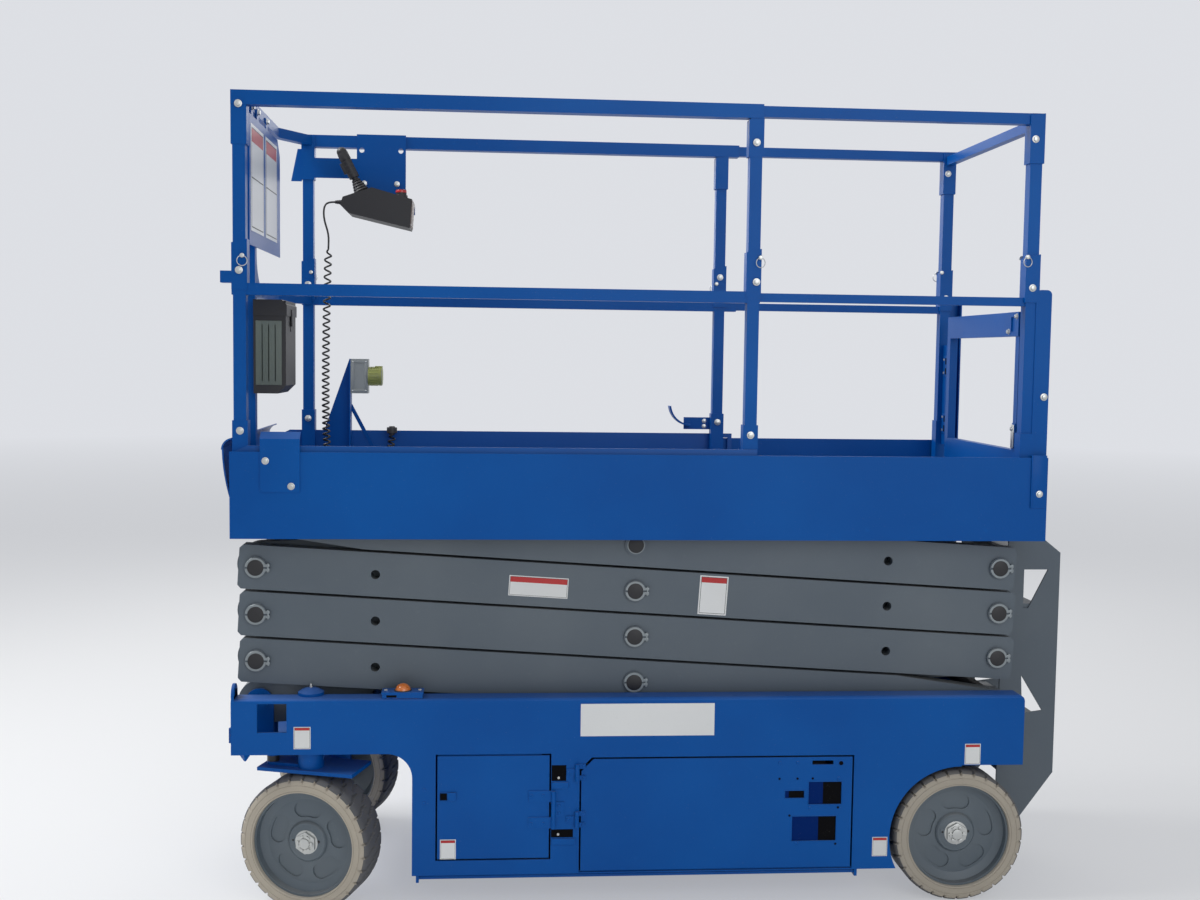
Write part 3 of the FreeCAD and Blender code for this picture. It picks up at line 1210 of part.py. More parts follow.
def extension_rail(side):
    """Side frame of the extension: two posts with sleeves, hollow top and mid rails."""
    front_x, rear_x = EXT_POST_X if side == LEFT else FAR_POST_X
    end_x = EXT_REAR[0] if side == LEFT else EXT_REAR[1]
    half = POST / 2
    floor = EXT_FLOOR + SEAT
    inside = EXT_IN - SEAT
    pieces = []
    for x, top in ((front_x, RAIL_TOP), (rear_x, RAIL_TOP - TOP_TUBE + OVER)):
        post_top = RAIL_TOP - TOP_TUBE / 2
        pieces.append(side_box(side, x - half, x + half, RAIL_Y - half, RAIL_Y + half, floor, post_top))
        pieces += sleeves(side, x, floor, EXT_TOP + FOOT_SLEEVE_UP, top, inside)
    hollows = []
    w = TUBE_WALL
    start = front_x - SLEEVE / 2
    hollow_end = max(end_x, rear_x + SLEEVE / 2) + OVER
    for z1, size in ((RAIL_TOP, TOP_TUBE), (MID_RAIL_TOP, MID_TUBE)):
        y0, y1 = RAIL_Y - size / 2, RAIL_Y + size / 2
        pieces.append(side_box(side, start, end_x, y0, y1, z1 - size, z1))
        hollows.append(side_box(side, start + w, hollow_end, y0 + w, y1 - w, z1 - size + w, z1 - w))
    if side == LEFT:
        length, height = FRONT_CATCH
        pieces.append(side_box(side, start - length, start + OVER, RAIL_Y - half, RAIL_Y + half,
                               MID_RAIL_TOP, MID_RAIL_TOP + height))
    else:
        down0, down1 = GUSSET_DOWN
        x0, x1 = GUSSET_X
        outline = [(start + OVER, RAIL_TOP - down0), (x1, RAIL_TOP - down0), (x0, RAIL_TOP - down1),
                   (start + OVER, RAIL_TOP - down1)]
        pieces.append(slab(outline, RAIL_Y - half, RAIL_Y - half + GUSSET_T))
    return cut(fuse(pieces), hollows)


def front_rail():
    """Front frame between the side frames: bent top rail, and a mid rail that turns up into a second post."""
    x = EXT_POST_X[0]
    y_right = RAIL_Y - SLEEVE / 2 - SEAT
    y_left = -y_right
    far = (FAR_POST_X[0], y_right)
    half = FRONT_MID_TUBE / 2
    top_low = RAIL_TOP - TOP_TUBE / 2 - FRONT_TUBE / 2
    top = band([(x, y_left), (x, BEND_Y), far], FRONT_TUBE, top_low, top_low + FRONT_TUBE)
    mid_z = MID_RAIL_TOP - MID_TUBE / 2
    bend_start = SECOND_POST_Y + MID_BEND_R
    mid = band([(x, bend_start), (x, BEND_Y), far], FRONT_MID_TUBE, mid_z - half, mid_z + half)
    square = Part.makePolygon([V(x + a * half, bend_start, mid_z + b * half)
                               for a, b in ((-1, -1), (1, -1), (1, 1), (-1, 1), (-1, -1))])
    bend = Part.Face(square).revolve(V(x, bend_start, mid_z + MID_BEND_R), AXIS_X, -90)
    floor = EXT_FLOOR + SEAT
    post = box(x - half, x + half, SECOND_POST_Y - half, SECOND_POST_Y + half, floor, top_low + OVER)
    frame = fuse([top, mid, bend, post])
    return frame.cut(box(DECK_FRONT - PLATE, EXT_REAR[0], y_right, HALF_WIDTH, 0, RAIL_TOP + OVER))


def document_box():
    """The document box on the second post: a bin with a bevelled foot and an overhanging lid."""
    x0 = EXT_POST_X[0] + FRONT_MID_TUBE / 2 + SEAT
    x1 = x0 + DOCUMENT_DEPTH
    z0, z1 = MID_RAIL_TOP - DOCUMENT_DOWN[1], MID_RAIL_TOP - DOCUMENT_DOWN[0]
    bevel = DOCUMENT_DEPTH / 4
    body = slab([(x0, z0), (x1 - bevel, z0), (x1, z0 + bevel), (x1, z1), (x0, z1)],
                DOCUMENT_Y[0] + LEAF_T, DOCUMENT_Y[1] - LEAF_T)
    lid = slab([(x0, z1 - DOCUMENT_LID), (x1 + LEAF_T, z1 - DOCUMENT_LID), (x1 + LEAF_T, z1 - bevel / 2),
                (x1 - bevel / 2, z1 + LEAF_T), (x0, z1 + LEAF_T)], *DOCUMENT_Y)
    return fuse([body, lid])


def sign_panel():
    """The plate that hangs from the front rail by three tabs, facing the worker."""
    x0 = EXT_POST_X[0] + FRONT_TUBE / 2 + SEAT
    y0, y1 = SIGN_Y
    z0, z1 = RAIL_TOP - SIGN_DOWN[1], RAIL_TOP - SIGN_DOWN[0]
    outline = [(y0, z0), (y1, z0), (y1, z1 - SIGN_BEVEL), (y1 - SIGN_BEVEL, z1), (y0, z1)]
    plate = plank(outline, x0, x0 + SIGN_T)
    rail_middle = RAIL_TOP - TOP_TUBE / 2
    tabs = [box(x0, x0 + SIGN_T, y, y + SIGN_TAB_W, z1 - OVER, rail_middle) for y in SIGN_TABS]
    return fuse([plate] + tabs)


def control_bracket():
    """The plate that hooks over the right top rail, with a wing at its foot and a cross bar to the post."""
    y1 = RAIL_INNER_FACE
    y0 = y1 - HANGER_T
    x0, x1 = HANGER_X
    top = RAIL_TOP + SEAT + HANGER_T
    foot = RAIL_TOP - HANGER_H
    wing = foot + HANGER_WING_X - x1
    outline = [(x0, foot), (HANGER_WING_X, foot), (HANGER_WING_X, wing), (x1, wing + HANGER_HOOK), (x1, top),
               (x0, top)]
    plate = slab(outline, y0, y1)
    hook = box(x0, x1, y1 - OVER, y1 + HANGER_HOOK, top - HANGER_T, top)
    bar_x = FAR_POST_X[0] + SLEEVE / 2 + SEAT
    bar = box(bar_x, x0 + OVER, y0, y1, RAIL_TOP - HANGER_BAR[1], RAIL_TOP - HANGER_BAR[0])
    inset = HANGER_HOLE_R * 2
    holes = [pin(x, RAIL_TOP - TOP_TUBE - inset / 2, y0 - OVER, y1 + OVER, HANGER_HOLE_R)
             for x in (x0 + inset, x1 - inset)]
    return cut(fuse([plate, hook, bar]), holes)


def control_box():
    """The wedge-shaped control box with its stick, its stop button and the cord's gland."""
    back = RAIL_INNER_FACE - HANGER_T - SEAT
    body = slab([(x, RAIL_TOP + z) for x, z in CONTROL_OUTLINE], back - CONTROL_W, back)
    y = CORD_Y
    (x0, z0), (x1, z1) = STICK
    low = V(x0, y, RAIL_TOP + z0)
    high = V(x1, y, RAIL_TOP + z1)
    grip = rod(low.add(high.sub(low).multiply(GRIP_START)), high, STICK_R)
    boot = Part.makeCone(*STICK_BOOT, low, high.sub(low))
    stem = rod(low, high, STEM_R)
    knob = Part.makeSphere(STICK_R, high)
    (ax, az), (bx, bz) = CONTROL_OUTLINE[2], CONTROL_OUTLINE[3]
    button_z = RAIL_TOP + az + (bz - az) * (BUTTON_X - ax) / (bx - ax)
    button = upright(BUTTON_X, y, button_z - BUTTON_R / 2, button_z + BUTTON_H, BUTTON_R)
    gx, gz = LEAD_ROUTE[0]
    tip_x = CONTROL_OUTLINE[1][0]
    gland = Part.makeCone(GLAND_R[1], GLAND_R[0], tip_x - gx, V(gx, y, gz), AXIS_X)
    return fuse([body, grip, boot, stem, knob, button, gland])


def control_cord():
    """The cord's lead and the outer shape of its coil."""
    lead = route_tube([(x, CORD_Y, z) for x, z in LEAD_ROUTE], CORD_LEAD_R)
    coil = route_tube(COIL_ROUTE, CORD_COIL_R)
    return lead, coil


def outlet_bracket():
    """The tall gusset on the right toe board that carries the power outlet, with its strut."""
    y1 = EXT_IN - SEAT
    y0 = y1 - HANGER_T
    x0, x1 = OUTLET_X
    foot = EXT_TOP - OUTLET_FOOT
    outline = [(x0, foot), (x1, foot), (x1, OUTLET_TOP), (x1 - OUTLET_TIP, OUTLET_TOP),
               (x0, EXT_TOP + OUTLET_TIP)]
    web = slab(outline, y0, y1)
    flange = box(x1 - HANGER_T, x1, y1 - OUTLET_BOX[1], y1, foot, OUTLET_TOP)
    middle = (foot + OUTLET_TOP) / 2
    strut_foot = (x1 + EXT_TOP - foot + STRUT_R, foot + OUTLET_TIP)
    strut = capsule((x1 - STRUT_R, middle), strut_foot, STRUT_R, y0, y1)
    return fuse([web, flange, strut])


def outlet_box():
    """The weatherproof power outlet: a box with a round socket."""
    long, deep, tall = OUTLET_BOX
    x0 = OUTLET_X[1] + SEAT
    y1 = EXT_IN - SEAT
    body = box(x0, x0 + long, y1 - deep, y1, OUTLET_TOP - tall, OUTLET_TOP)
    middle = V(x0 + long - OVER, y1 - OUTLET_SOCKET_R - SEAT, OUTLET_TOP - tall / 2)
    socket = rod(middle, middle.add(V(OUTLET_SOCKET_L, 0, 0)), OUTLET_SOCKET_R)
    return fuse([body, socket])


def release_handle():
    """Foot-operated release of the extension, at the right rear post of the extension."""
    x1 = FAR_POST_X[1] - SLEEVE / 2 - SEAT
    y1 = EXT_IN - SEAT
    z0, z1 = HANDLE_Z
    bracket = box(x1 - GUARD_W - SLEEVE / 2, x1, y1 - HANGER_T * 2, y1, z0, z1)
    pedal = curved_strip(HANDLE_TIP, HANDLE_BEND, (x1 - GUARD_W, z0 + STRUT_R * 2), STRUT_R, y1 - SLEEVE, y1)
    return fuse([bracket, pedal])


def retainer_plate():
    """The plate bolted on the left toe board, bent in over the extension's top edge."""
    y0 = -(HALF_WIDTH + SEAT)
    y1 = y0 - RETAINER_T
    bend = EXT_TOP + RETAINER_UP
    t = RETAINER_T
    lip = RETAINER_LIP
    return plank([(y1, RETAINER_BOTTOM), (y0, RETAINER_BOTTOM), (y0, bend), (y0 + lip, bend + lip),
                  (y0 + lip - t, bend + lip), (y1, bend + t / 2)], *RETAINER_X)


def beacon():
    """The orange lamp on the left side channel: foot plate, base and dome."""
    x = BEACON_X
    half_x, half_y, foot_t = BEACON_FOOT
    y = -(SIDE_FLANGE_IN + half_y + BEACON_FOOT[2])
    z = CHASSIS_TOP + SEAT
    foot = box(x - half_x, x + half_x, y - half_y, y + half_y, z, z + foot_t)
    base = upright(x, y, z + foot_t - OVER, z + foot_t + BEACON_H, BEACON_R)
    ball_r = BEACON_R - CENTRE_PIN_IN
    dome = Part.makeSphere(ball_r, V(x, y, z + foot_t + BEACON_H - OVER))
    below = box(x - ball_r, x + ball_r, y - ball_r, y + ball_r, z - ball_r, z + foot_t + BEACON_H - OVER)
    dome = dome.cut(below)
    return fuse([foot, base, dome])


def ladder():
    """The entry ladder: two side plates with cut-outs and their rungs, on the chassis' rear plate."""
    x0 = CHASSIS_REAR + SEAT
    bevel_x, bevel_z = LADDER_BEVEL
    step = RUNG_X[0] - PLATE
    outline = [(x0, REAR_SILL - PLATE), (x0, RUNG_FIRST - RUNG_H * 3), (x0 + LADDER_FOOT[0], LADDER_BOTTOM),
               (x0 + LADDER_FOOT[1], LADDER_BOTTOM), (LADDER_END, LADDER_KNEE_Z),
               (LADDER_END, LADDER_TOP - bevel_z), (LADDER_END - bevel_x, LADDER_TOP),
               (x0 + step, LADDER_TOP), (x0 + step, CHASSIS_TOP + step),
               (x0, CHASSIS_TOP)]
    side = slab(outline, -LADDER_Y, -LADDER_Y + LADDER_T)
    for hole in LADDER_HOLES:
        side = side.cut(slab(list(hole), -LADDER_Y - OVER, -LADDER_Y + LADDER_T + OVER))
    pieces = [side, mirrored(side)]
    inside = LADDER_Y - LADDER_T + OVER
    for i in range(RUNGS):
        z = RUNG_FIRST + i * RUNG_PITCH
        out = LOW_RUNG_OUT if i == 0 else RUNG_X[1]
        pieces.append(box(x0 + RUNG_X[0], x0 + out, -inside, inside, z - RUNG_H, z))
    return fuse(pieces)


def pothole_guard(side):
    """The bar under the chassis side that swings down when the platform rises."""
    y = GUARD_Y
    half = GUARD_BAR_T / 2
    bar = side_box(side, *GUARD_X, y - GUARD_W, y, GUARD_Z - half, GUARD_Z + half)
    reach = GUARD_GAP + GUARD_EAR_T
    x0, x1 = GUARD_X[0] - reach, GUARD_X[1] + reach
    shaft = rod(V(x0, side * y, GUARD_Z), V(x1, side * y, GUARD_Z), GUARD_PIN_R)
    return fuse([bar, shaft])


def guard_ears():
    """Ears under the chassis floor that carry the pothole guards."""
    pieces = []
    half = GUARD_EAR_HALF
    for side in SIDES.values():
        for x in (GUARD_X[0] - GUARD_EAR_T - GUARD_GAP, GUARD_X[1] + GUARD_GAP):
            end = x + GUARD_EAR_T
            top = CHASSIS_BOTTOM + OVER
            ear = side_box(side, x, end, GUARD_Y - half, GUARD_Y + half, GUARD_Z - half, top)
            y = side * GUARD_Y
            bore = rod(V(x - OVER, y, GUARD_Z), V(end + OVER, y, GUARD_Z), GUARD_PIN_R + RUN)
            pieces.append(ear.cut(bore))
    return pieces


def main():
    os.makedirs("parts", exist_ok=True)
    export("chassis_sides", chassis_sides())
    export("chassis_deck", chassis_deck())
    export("chassis_belly", chassis_belly())
    export("base_tracks", base_tracks())
    export("side_hinges", side_hinges())
    export("ladder", ladder())
    export("beacon", beacon())
    export("tie_rod", tie_rod())
    for name, side in SIDES.items():
        export("tray_" + name, tray(side))
        export("tray_block_" + name, tray_load(side))
        export("small_door_" + name, small_door(side))
        export("steer_yoke_" + name, yoke(side))
        export("front_rim_" + name, steered(rim(WHEEL_FRONT_X, side * KING_Y, side), side))
        export("front_tyre_" + name, steered(tyre(WHEEL_FRONT_X, side * KING_Y, side), side))
        export("rear_rim_" + name, rim(WHEEL_REAR_X, side * WHEEL_Y, side))
        export("rear_tyre_" + name, tyre(WHEEL_REAR_X, side * WHEEL_Y, side))
        export("pothole_guard_" + name, pothole_guard(side))
    export("rear_axles", Part.makeCompound([rear_axle(side) for side in SIDES.values()]))
    export("extension_rails", Part.makeCompound([extension_rail(side) for side in SIDES.values()]))
    export("main_rails", Part.makeCompound([main_rail(side) for side in SIDES.values()]))
    for level in range(1, LEVELS + 1):
        export("inner_arms_%d" % level, inner_arms(level))
        export("outer_arms_%d" % level, outer_arms(level))
    export("base_slide_blocks", slide_blocks(*on_arm("outer", 1, ARM_LEN)))
    export("top_slide_blocks", slide_blocks(*on_arm("inner", LEVELS, ARM_LEN)))
    barrel, piston_rod = lift_cylinder()
    export("lift_barrel", barrel)
    export("lift_rod", piston_rod)
    export("platform_deck", platform_deck())
    export("platform_skirts", platform_skirts())
    export("top_tracks", top_tracks())
    export("entry_bar", entry_bar())
    export("gate", gate())
    export("extension_deck", extension_deck())
    export("front_rail", front_rail())
    export("document_box", document_box())
    export("sign_panel", sign_panel())
    export("control_bracket", control_bracket())
    export("control_box", control_box())
    lead, coil = control_cord()
    export("control_cord_lead", lead)
    export("control_cord_coil", coil)
    export("outlet_bracket", outlet_bracket())
    export("outlet_box", outlet_box())
    export("release_handle", release_handle())
    export("retainer_plate", retainer_plate())


main()
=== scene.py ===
# %% [markdown]
# # A stowed electric scissor lift
# This lesson dresses a scissor lift whose steelwork was made in CAD. The CAD pieces arrive as fixed
# meshes, one for each real piece, and they already have the right size and place. What is left for
# Blender is the finish of every surface, and the small things that CAD leaves out: bolts, clamps,
# tyre treads, latches, plates and the curly cord of the control box. Lengths are in metres. X points
# to the ladder at the rear, Y to the machine's right, and Z up.

# %% Load the steelwork
import json
import math

import bmesh
import bpy
from mathutils import Matrix, Vector


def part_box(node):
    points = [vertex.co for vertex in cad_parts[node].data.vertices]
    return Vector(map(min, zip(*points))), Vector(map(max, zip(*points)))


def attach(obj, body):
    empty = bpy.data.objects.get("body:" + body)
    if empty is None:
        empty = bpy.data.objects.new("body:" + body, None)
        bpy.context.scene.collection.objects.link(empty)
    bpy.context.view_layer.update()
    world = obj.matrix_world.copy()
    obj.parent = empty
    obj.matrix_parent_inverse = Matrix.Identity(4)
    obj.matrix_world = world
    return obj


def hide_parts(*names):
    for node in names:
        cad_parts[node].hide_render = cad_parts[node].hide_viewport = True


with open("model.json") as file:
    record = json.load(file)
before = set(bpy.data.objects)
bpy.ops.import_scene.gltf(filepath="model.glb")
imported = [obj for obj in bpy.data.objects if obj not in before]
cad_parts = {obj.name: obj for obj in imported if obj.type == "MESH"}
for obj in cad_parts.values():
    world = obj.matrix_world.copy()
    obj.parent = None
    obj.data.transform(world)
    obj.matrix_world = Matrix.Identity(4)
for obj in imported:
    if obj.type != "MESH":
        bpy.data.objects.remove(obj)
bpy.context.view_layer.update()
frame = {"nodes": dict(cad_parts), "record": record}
nodes = frame["nodes"]


# %% [markdown]
# The camera stands where the photographer stood: about four metres from the left side, at chest
# height, a little towards the steering end, looking slightly down. It could be placed by eye, but a
# place worked out from known points of the machine fits all of them at once, so it is written as
# numbers here. The lens follows from the focal length in pixels and the width of the picture.

# %% The camera at the photographer's place
PICTURE_WIDTH = 1200
FOCAL_PIXELS = 1359.7
SENSOR_WIDTH = 36.0
camera_place = Vector((-0.479, -4.142, 1.561))
turn, tilt, roll = (math.radians(a) for a in (-4.451, 4.006, 0.770))


def axes_at(x_way, y_way, z_way, place):
    """The matrix with these three axes, at a place."""
    columns = [(*way, 0) for way in (x_way, y_way, z_way)] + [(*place, 1)]
    return Matrix(columns).transposed()


level_right = Vector((math.cos(turn), math.sin(turn), 0))
level_ahead = Vector((-math.sin(turn), math.cos(turn), 0))
ahead = math.cos(tilt) * level_ahead - math.sin(tilt) * Vector((0, 0, 1))
above = math.sin(tilt) * level_ahead + math.cos(tilt) * Vector((0, 0, 1))
camera_right = math.cos(roll) * level_right + math.sin(roll) * above
camera_up = -math.sin(roll) * level_right + math.cos(roll) * above

camera_data = bpy.data.cameras.new("photo_camera")
camera_data.sensor_width = SENSOR_WIDTH
camera_data.lens = FOCAL_PIXELS / PICTURE_WIDTH * SENSOR_WIDTH
camera = bpy.data.objects.new("photo_camera", camera_data)
camera.matrix_world = axes_at(camera_right, camera_up, -ahead, camera_place)
bpy.context.scene.collection.objects.link(camera)
bpy.context.scene.camera = camera
print("lens:", round(camera_data.lens, 1), "mm")


# %% [markdown]
# ## Materials
# A finish is a small tree of shader nodes. It can be wired by hand in the shader editor, which is
# the best way to look for it. Once it is found, a few helpers wire the same tree from text, so that
# all finishes of the machine are built alike and each line says what it adds.

# %% Helpers for shader nodes
def new_group(name, inputs, outputs):
    """A shader node group with named sockets: each is a name, a socket type and, going in, a value."""
    group = bpy.data.node_groups.new(name, "ShaderNodeTree")
    for label, kind, default in inputs:
        socket = group.interface.new_socket(name=label, in_out="INPUT", socket_type=kind)
        socket.default_value = default
    for label, kind in outputs:
        group.interface.new_socket(name=label, in_out="OUTPUT", socket_type=kind)
    return group


def node(tree, kind, **values):
    """A node of a tree; values set its properties or, by socket name, its inputs."""
    made = tree.nodes.new(kind)
    for key, value in values.items():
        if hasattr(made, key):
            setattr(made, key, value)
        else:
            made.inputs[key.replace("_", " ")].default_value = value
    return made


def math_node(tree, operation, a, b=0.0):
    made = node(tree, "ShaderNodeMath", operation=operation)
    for socket, value in zip(made.inputs, (a, b)):
        if isinstance(value, (int, float)):
            socket.default_value = value
        else:
            tree.links.new(value, socket)
    return made.outputs[0]


def plus(tree, a, b):
    return math_node(tree, "ADD", a, b)


def times(tree, a, b):
    return math_node(tree, "MULTIPLY", a, b)


def opposite(tree, share):
    return math_node(tree, "SUBTRACT", 1.0, share)


print("helpers for nodes and sums")


# %% [markdown]
# Four more helpers say what paint needs: noise with a scale, a stretch of its middle values to the
# whole range, a mask of what faces the sky, and a mix of two colours. A colour ramp could stretch the
# noise too, but a Map Range node holds just the two numbers that matter.

# %% Helpers for noise, masks and colours
def noise(tree, vector, scale, detail, roughness=0.5):
    made = node(tree, "ShaderNodeTexNoise", Scale=scale, Detail=detail, Roughness=roughness)
    tree.links.new(vector, made.inputs["Vector"])
    return made.outputs["Fac"]


def ramp(tree, value, low, high):
    """Stretches a value so that low becomes 0 and high becomes 1."""
    made = node(tree, "ShaderNodeMapRange", clamp=True, From_Min=low, From_Max=high)
    tree.links.new(value, made.inputs["Value"])
    return made.outputs["Result"]


def object_place(tree):
    return node(tree, "ShaderNodeTexCoord").outputs["Object"]


def faces_up(tree, low, high):
    """A mask of what faces the sky: 0 where the normal's Z is low, 1 where it is high."""
    normal = node(tree, "ShaderNodeSeparateXYZ")
    tree.links.new(node(tree, "ShaderNodeNewGeometry").outputs["Normal"], normal.inputs[0])
    return ramp(tree, normal.outputs["Z"], low, high)


def mix_colour(tree, factor, a, b):
    made = node(tree, "ShaderNodeMix", data_type="RGBA")
    tree.links.new(factor, made.inputs[0])
    for socket, value in ((made.inputs[6], a), (made.inputs[7], b)):
        if isinstance(value, tuple):
            socket.default_value = value
        else:
            tree.links.new(value, socket)
    return made.outputs[2]


print("helpers for noise, masks and colours")


# %% [markdown]
# Painted steel is never one flat colour. Sprayed paint has a faint orange-peel ripple, it is a
# little paler where hands and boots have rubbed it, and dust settles on what faces the sky. These
# could be painted on by hand, but noise does it for all pieces at once, and needs no unwrapping. It
# is all made once, in a node group, and every painted finish uses it with its own numbers. The group
# puts out a colour and a roughness that change over the surface, and a height for the bump.

# %% A node group for worn, dusty paint
BLOTCHES_PALER, SCUFFS_PALER = 0.35, 0.30        # how far they turn the paint to its faded colour
DUST_BETWEEN_BLOTCHES, SPECKS_OF_DUST = 0.45, 0.12
DUST_ROUGHER, SCUFFS_ROUGHER = 0.5, 0.15
PEEL_HEIGHT, DENT_HEIGHT = 0.25, 0.75

worn_paint = new_group(
    "worn_paint",
    [("Colour", "NodeSocketColor", (0.0, 0.1, 0.3, 1)),
     ("Faded", "NodeSocketColor", (0.05, 0.2, 0.4, 1)),
     ("Dust", "NodeSocketColor", (0.35, 0.33, 0.3, 1)),
     ("Dustiness", "NodeSocketFloat", 0.25),
     ("Base Roughness", "NodeSocketFloat", 0.35)],
    [("Colour", "NodeSocketColor"), ("Roughness", "NodeSocketFloat"),
     ("Height", "NodeSocketFloat")])


def fill_worn_paint(tree):
    given = tree.nodes.new("NodeGroupInput").outputs
    put = tree.nodes.new("NodeGroupOutput").inputs
    place = object_place(tree)
    blotches = ramp(tree, noise(tree, place, scale=2.2, detail=4.0), 0.40, 0.68)
    scuffs = ramp(tree, noise(tree, place, scale=38.0, detail=6.0, roughness=0.7), 0.62, 0.74)
    specks = ramp(tree, noise(tree, place, scale=240.0, detail=2.0), 0.70, 0.76)
    faded = mix_colour(tree, times(tree, blotches, BLOTCHES_PALER), given["Colour"], given["Faded"])
    scuffed = mix_colour(tree, times(tree, scuffs, SCUFFS_PALER), faded, given["Faded"])
    settled = times(tree, faces_up(tree, 0.35, 0.95), given["Dustiness"])
    patchy = times(tree, settled, plus(tree, blotches, DUST_BETWEEN_BLOTCHES))
    dust = plus(tree, patchy, times(tree, specks, SPECKS_OF_DUST))
    tree.links.new(mix_colour(tree, dust, scuffed, given["Dust"]), put["Colour"])
    rough = plus(tree, given["Base Roughness"], times(tree, dust, DUST_ROUGHER))
    tree.links.new(plus(tree, rough, times(tree, scuffs, SCUFFS_ROUGHER)), put["Roughness"])
    peel = times(tree, noise(tree, place, scale=420.0, detail=1.0), PEEL_HEIGHT)
    dents = times(tree, noise(tree, place, scale=6.0, detail=2.0), DENT_HEIGHT)
    tree.links.new(plus(tree, peel, dents), put["Height"])


fill_worn_paint(worn_paint)
print("paint group:", len(worn_paint.nodes), "nodes")


# %% [markdown]
# Each finish is then a short material: the group for its colour, and a Principled shader for its
# gloss. Colours are written as a painter would read them from the object, in sRGB, and turned into
# Blender's linear values by a small helper. Every value that doesn't change over the surface is
# written on the shader's own socket, where it is easy to find.

# %% Make a painted material
def colour(red, green, blue):
    """sRGB from 0 to 255, as Blender's linear colour."""
    def linear(c):
        c /= 255
        return c / 12.92 if c <= 0.04045 else ((c + 0.055) / 1.055) ** 2.4
    return (linear(red), linear(green), linear(blue), 1.0)


def new_material(name, metallic=0.0, specular=0.5, coat=0.0):
    material = bpy.data.materials.new(name)
    material.use_nodes = True
    shader = material.node_tree.nodes["Principled BSDF"]
    shader.inputs["Metallic"].default_value = metallic
    shader.inputs["Specular IOR Level"].default_value = specular
    shader.inputs["Coat Weight"].default_value = coat
    return material, material.node_tree, shader


def painted(name, base, faded, dustiness, roughness, ripple=0.0006, **gloss):
    """Worn paint; ripple is how far its bump rises, in metres."""
    material, tree, shader = new_material(name, **gloss)
    paint = node(tree, "ShaderNodeGroup", node_tree=worn_paint, Colour=base, Faded=faded,
                 Dustiness=dustiness, Base_Roughness=roughness)
    bump = node(tree, "ShaderNodeBump", Strength=0.5, Distance=ripple)
    tree.links.new(paint.outputs["Colour"], shader.inputs["Base Color"])
    tree.links.new(paint.outputs["Roughness"], shader.inputs["Roughness"])
    tree.links.new(paint.outputs["Height"], bump.inputs["Height"])
    tree.links.new(bump.outputs["Normal"], shader.inputs["Normal"])
    return material


print("helpers for materials")


# %% [markdown]
# Each finish could be a material that is set up by hand, but they differ only in a few numbers, so
# they are rows of a table, and a new finish is one more row. The chassis, platform and extension are
# blue and the arms grey. The solid tyres are pale at the sides and darker where they roll, and
# everything that turns or clamps is plated or black.

# %% Finishes of this machine
BLUE, FADED_BLUE = (0, 78, 155), (6, 97, 178)
paints = {
    # name: its colour, its colour where faded, dustiness, roughness, other values
    "blue_paint": (BLUE, FADED_BLUE, 0.12, 0.38, {"coat": 0.02, "specular": 0.14}),
    # the next two rows are painted shade: dark blue for a blue wall in shade, near black for holes and
    # slots
    "shaded_blue": ((0, 34, 98), (2, 44, 112), 0.04, 0.60, {"specular": 0.05}),
    "painted_shade_black": ((9, 9, 12), (18, 18, 20), 0.02, 0.70, {"specular": 0.05}),
    "grey_paint": ((82, 93, 103), (106, 115, 121), 0.30, 0.42, {}),
    "rim_grey": ((84, 96, 106), (118, 126, 130), 0.25, 0.45, {}),
    "tyre": ((172, 164, 150), (148, 142, 132), 0.30, 0.80, {"ripple": 0.0015}),
    "tyre_face": ((84, 86, 90), (120, 116, 110), 0.30, 0.85, {"ripple": 0.0015}),
    "black_plastic": ((26, 26, 30), (48, 48, 50), 0.20, 0.50, {}),
    "black_cord": ((20, 20, 22), (44, 44, 46), 0.10, 0.42, {}),
    "zinc": ((200, 202, 200), (160, 160, 156), 0.15, 0.34, {"metallic": 0.85}),
    "dull_zinc": ((132, 140, 144), (168, 170, 168), 0.25, 0.42, {"metallic": 0.6}),
    "black_steel": ((34, 35, 38), (66, 66, 66), 0.25, 0.40, {}),
    "chrome_rod": ((205, 208, 210), (170, 172, 172), 0.05, 0.12, {"metallic": 1.0}),
    "outlet_grey": ((150, 156, 156), (180, 182, 180), 0.15, 0.40, {}),
    "orange_lens": ((214, 110, 26), (232, 150, 60), 0.10, 0.25, {"coat": 0.6}),
    "white_plate": ((224, 226, 226), (204, 206, 204), 0.15, 0.40, {}),
    "red_band": ((176, 30, 34), (196, 70, 66), 0.10, 0.40, {}),
    "red_button": ((190, 28, 30), (214, 78, 70), 0.10, 0.28, {"coat": 0.4}),
    "olive_socket": ((150, 156, 84), (178, 182, 120), 0.15, 0.40, {}),
    "brown_cover": ((112, 96, 88), (134, 120, 112), 0.15, 0.50, {}),
    "box_panel": ((88, 98, 92), (108, 116, 110), 0.20, 0.50, {}),
}
finish = {name: painted(name, colour(*base), colour(*faded), dustiness, roughness, **others)
          for name, (base, faded, dustiness, roughness, others) in paints.items()}
print("painted finishes:", len(finish))


# %% [markdown]
# The decks are tread plate: sheet steel with raised bars that lie across each other in turn, so that
# boots don't slip. Thousands of modelled bars would be heavy, and a picture would have to be laid
# out on the plate, so the pattern is worked out from the place of each point. Turned by 45 degrees,
# the plate is a grid of squares, and in each square a short bar lies along one direction or the
# other. A bar's ends and sides fade over a small part of the square, which rounds them in the bump.

# %% A node group for tread plate
BAR_ENDS, BAR_SIDES = (0.34, 0.42), (0.07, 0.14)     # shares of a square, from full height to none
tread_plate = new_group("tread_plate", [("Pitch", "NodeSocketFloat", 0.030)],
                        [("Bar", "NodeSocketFloat")])


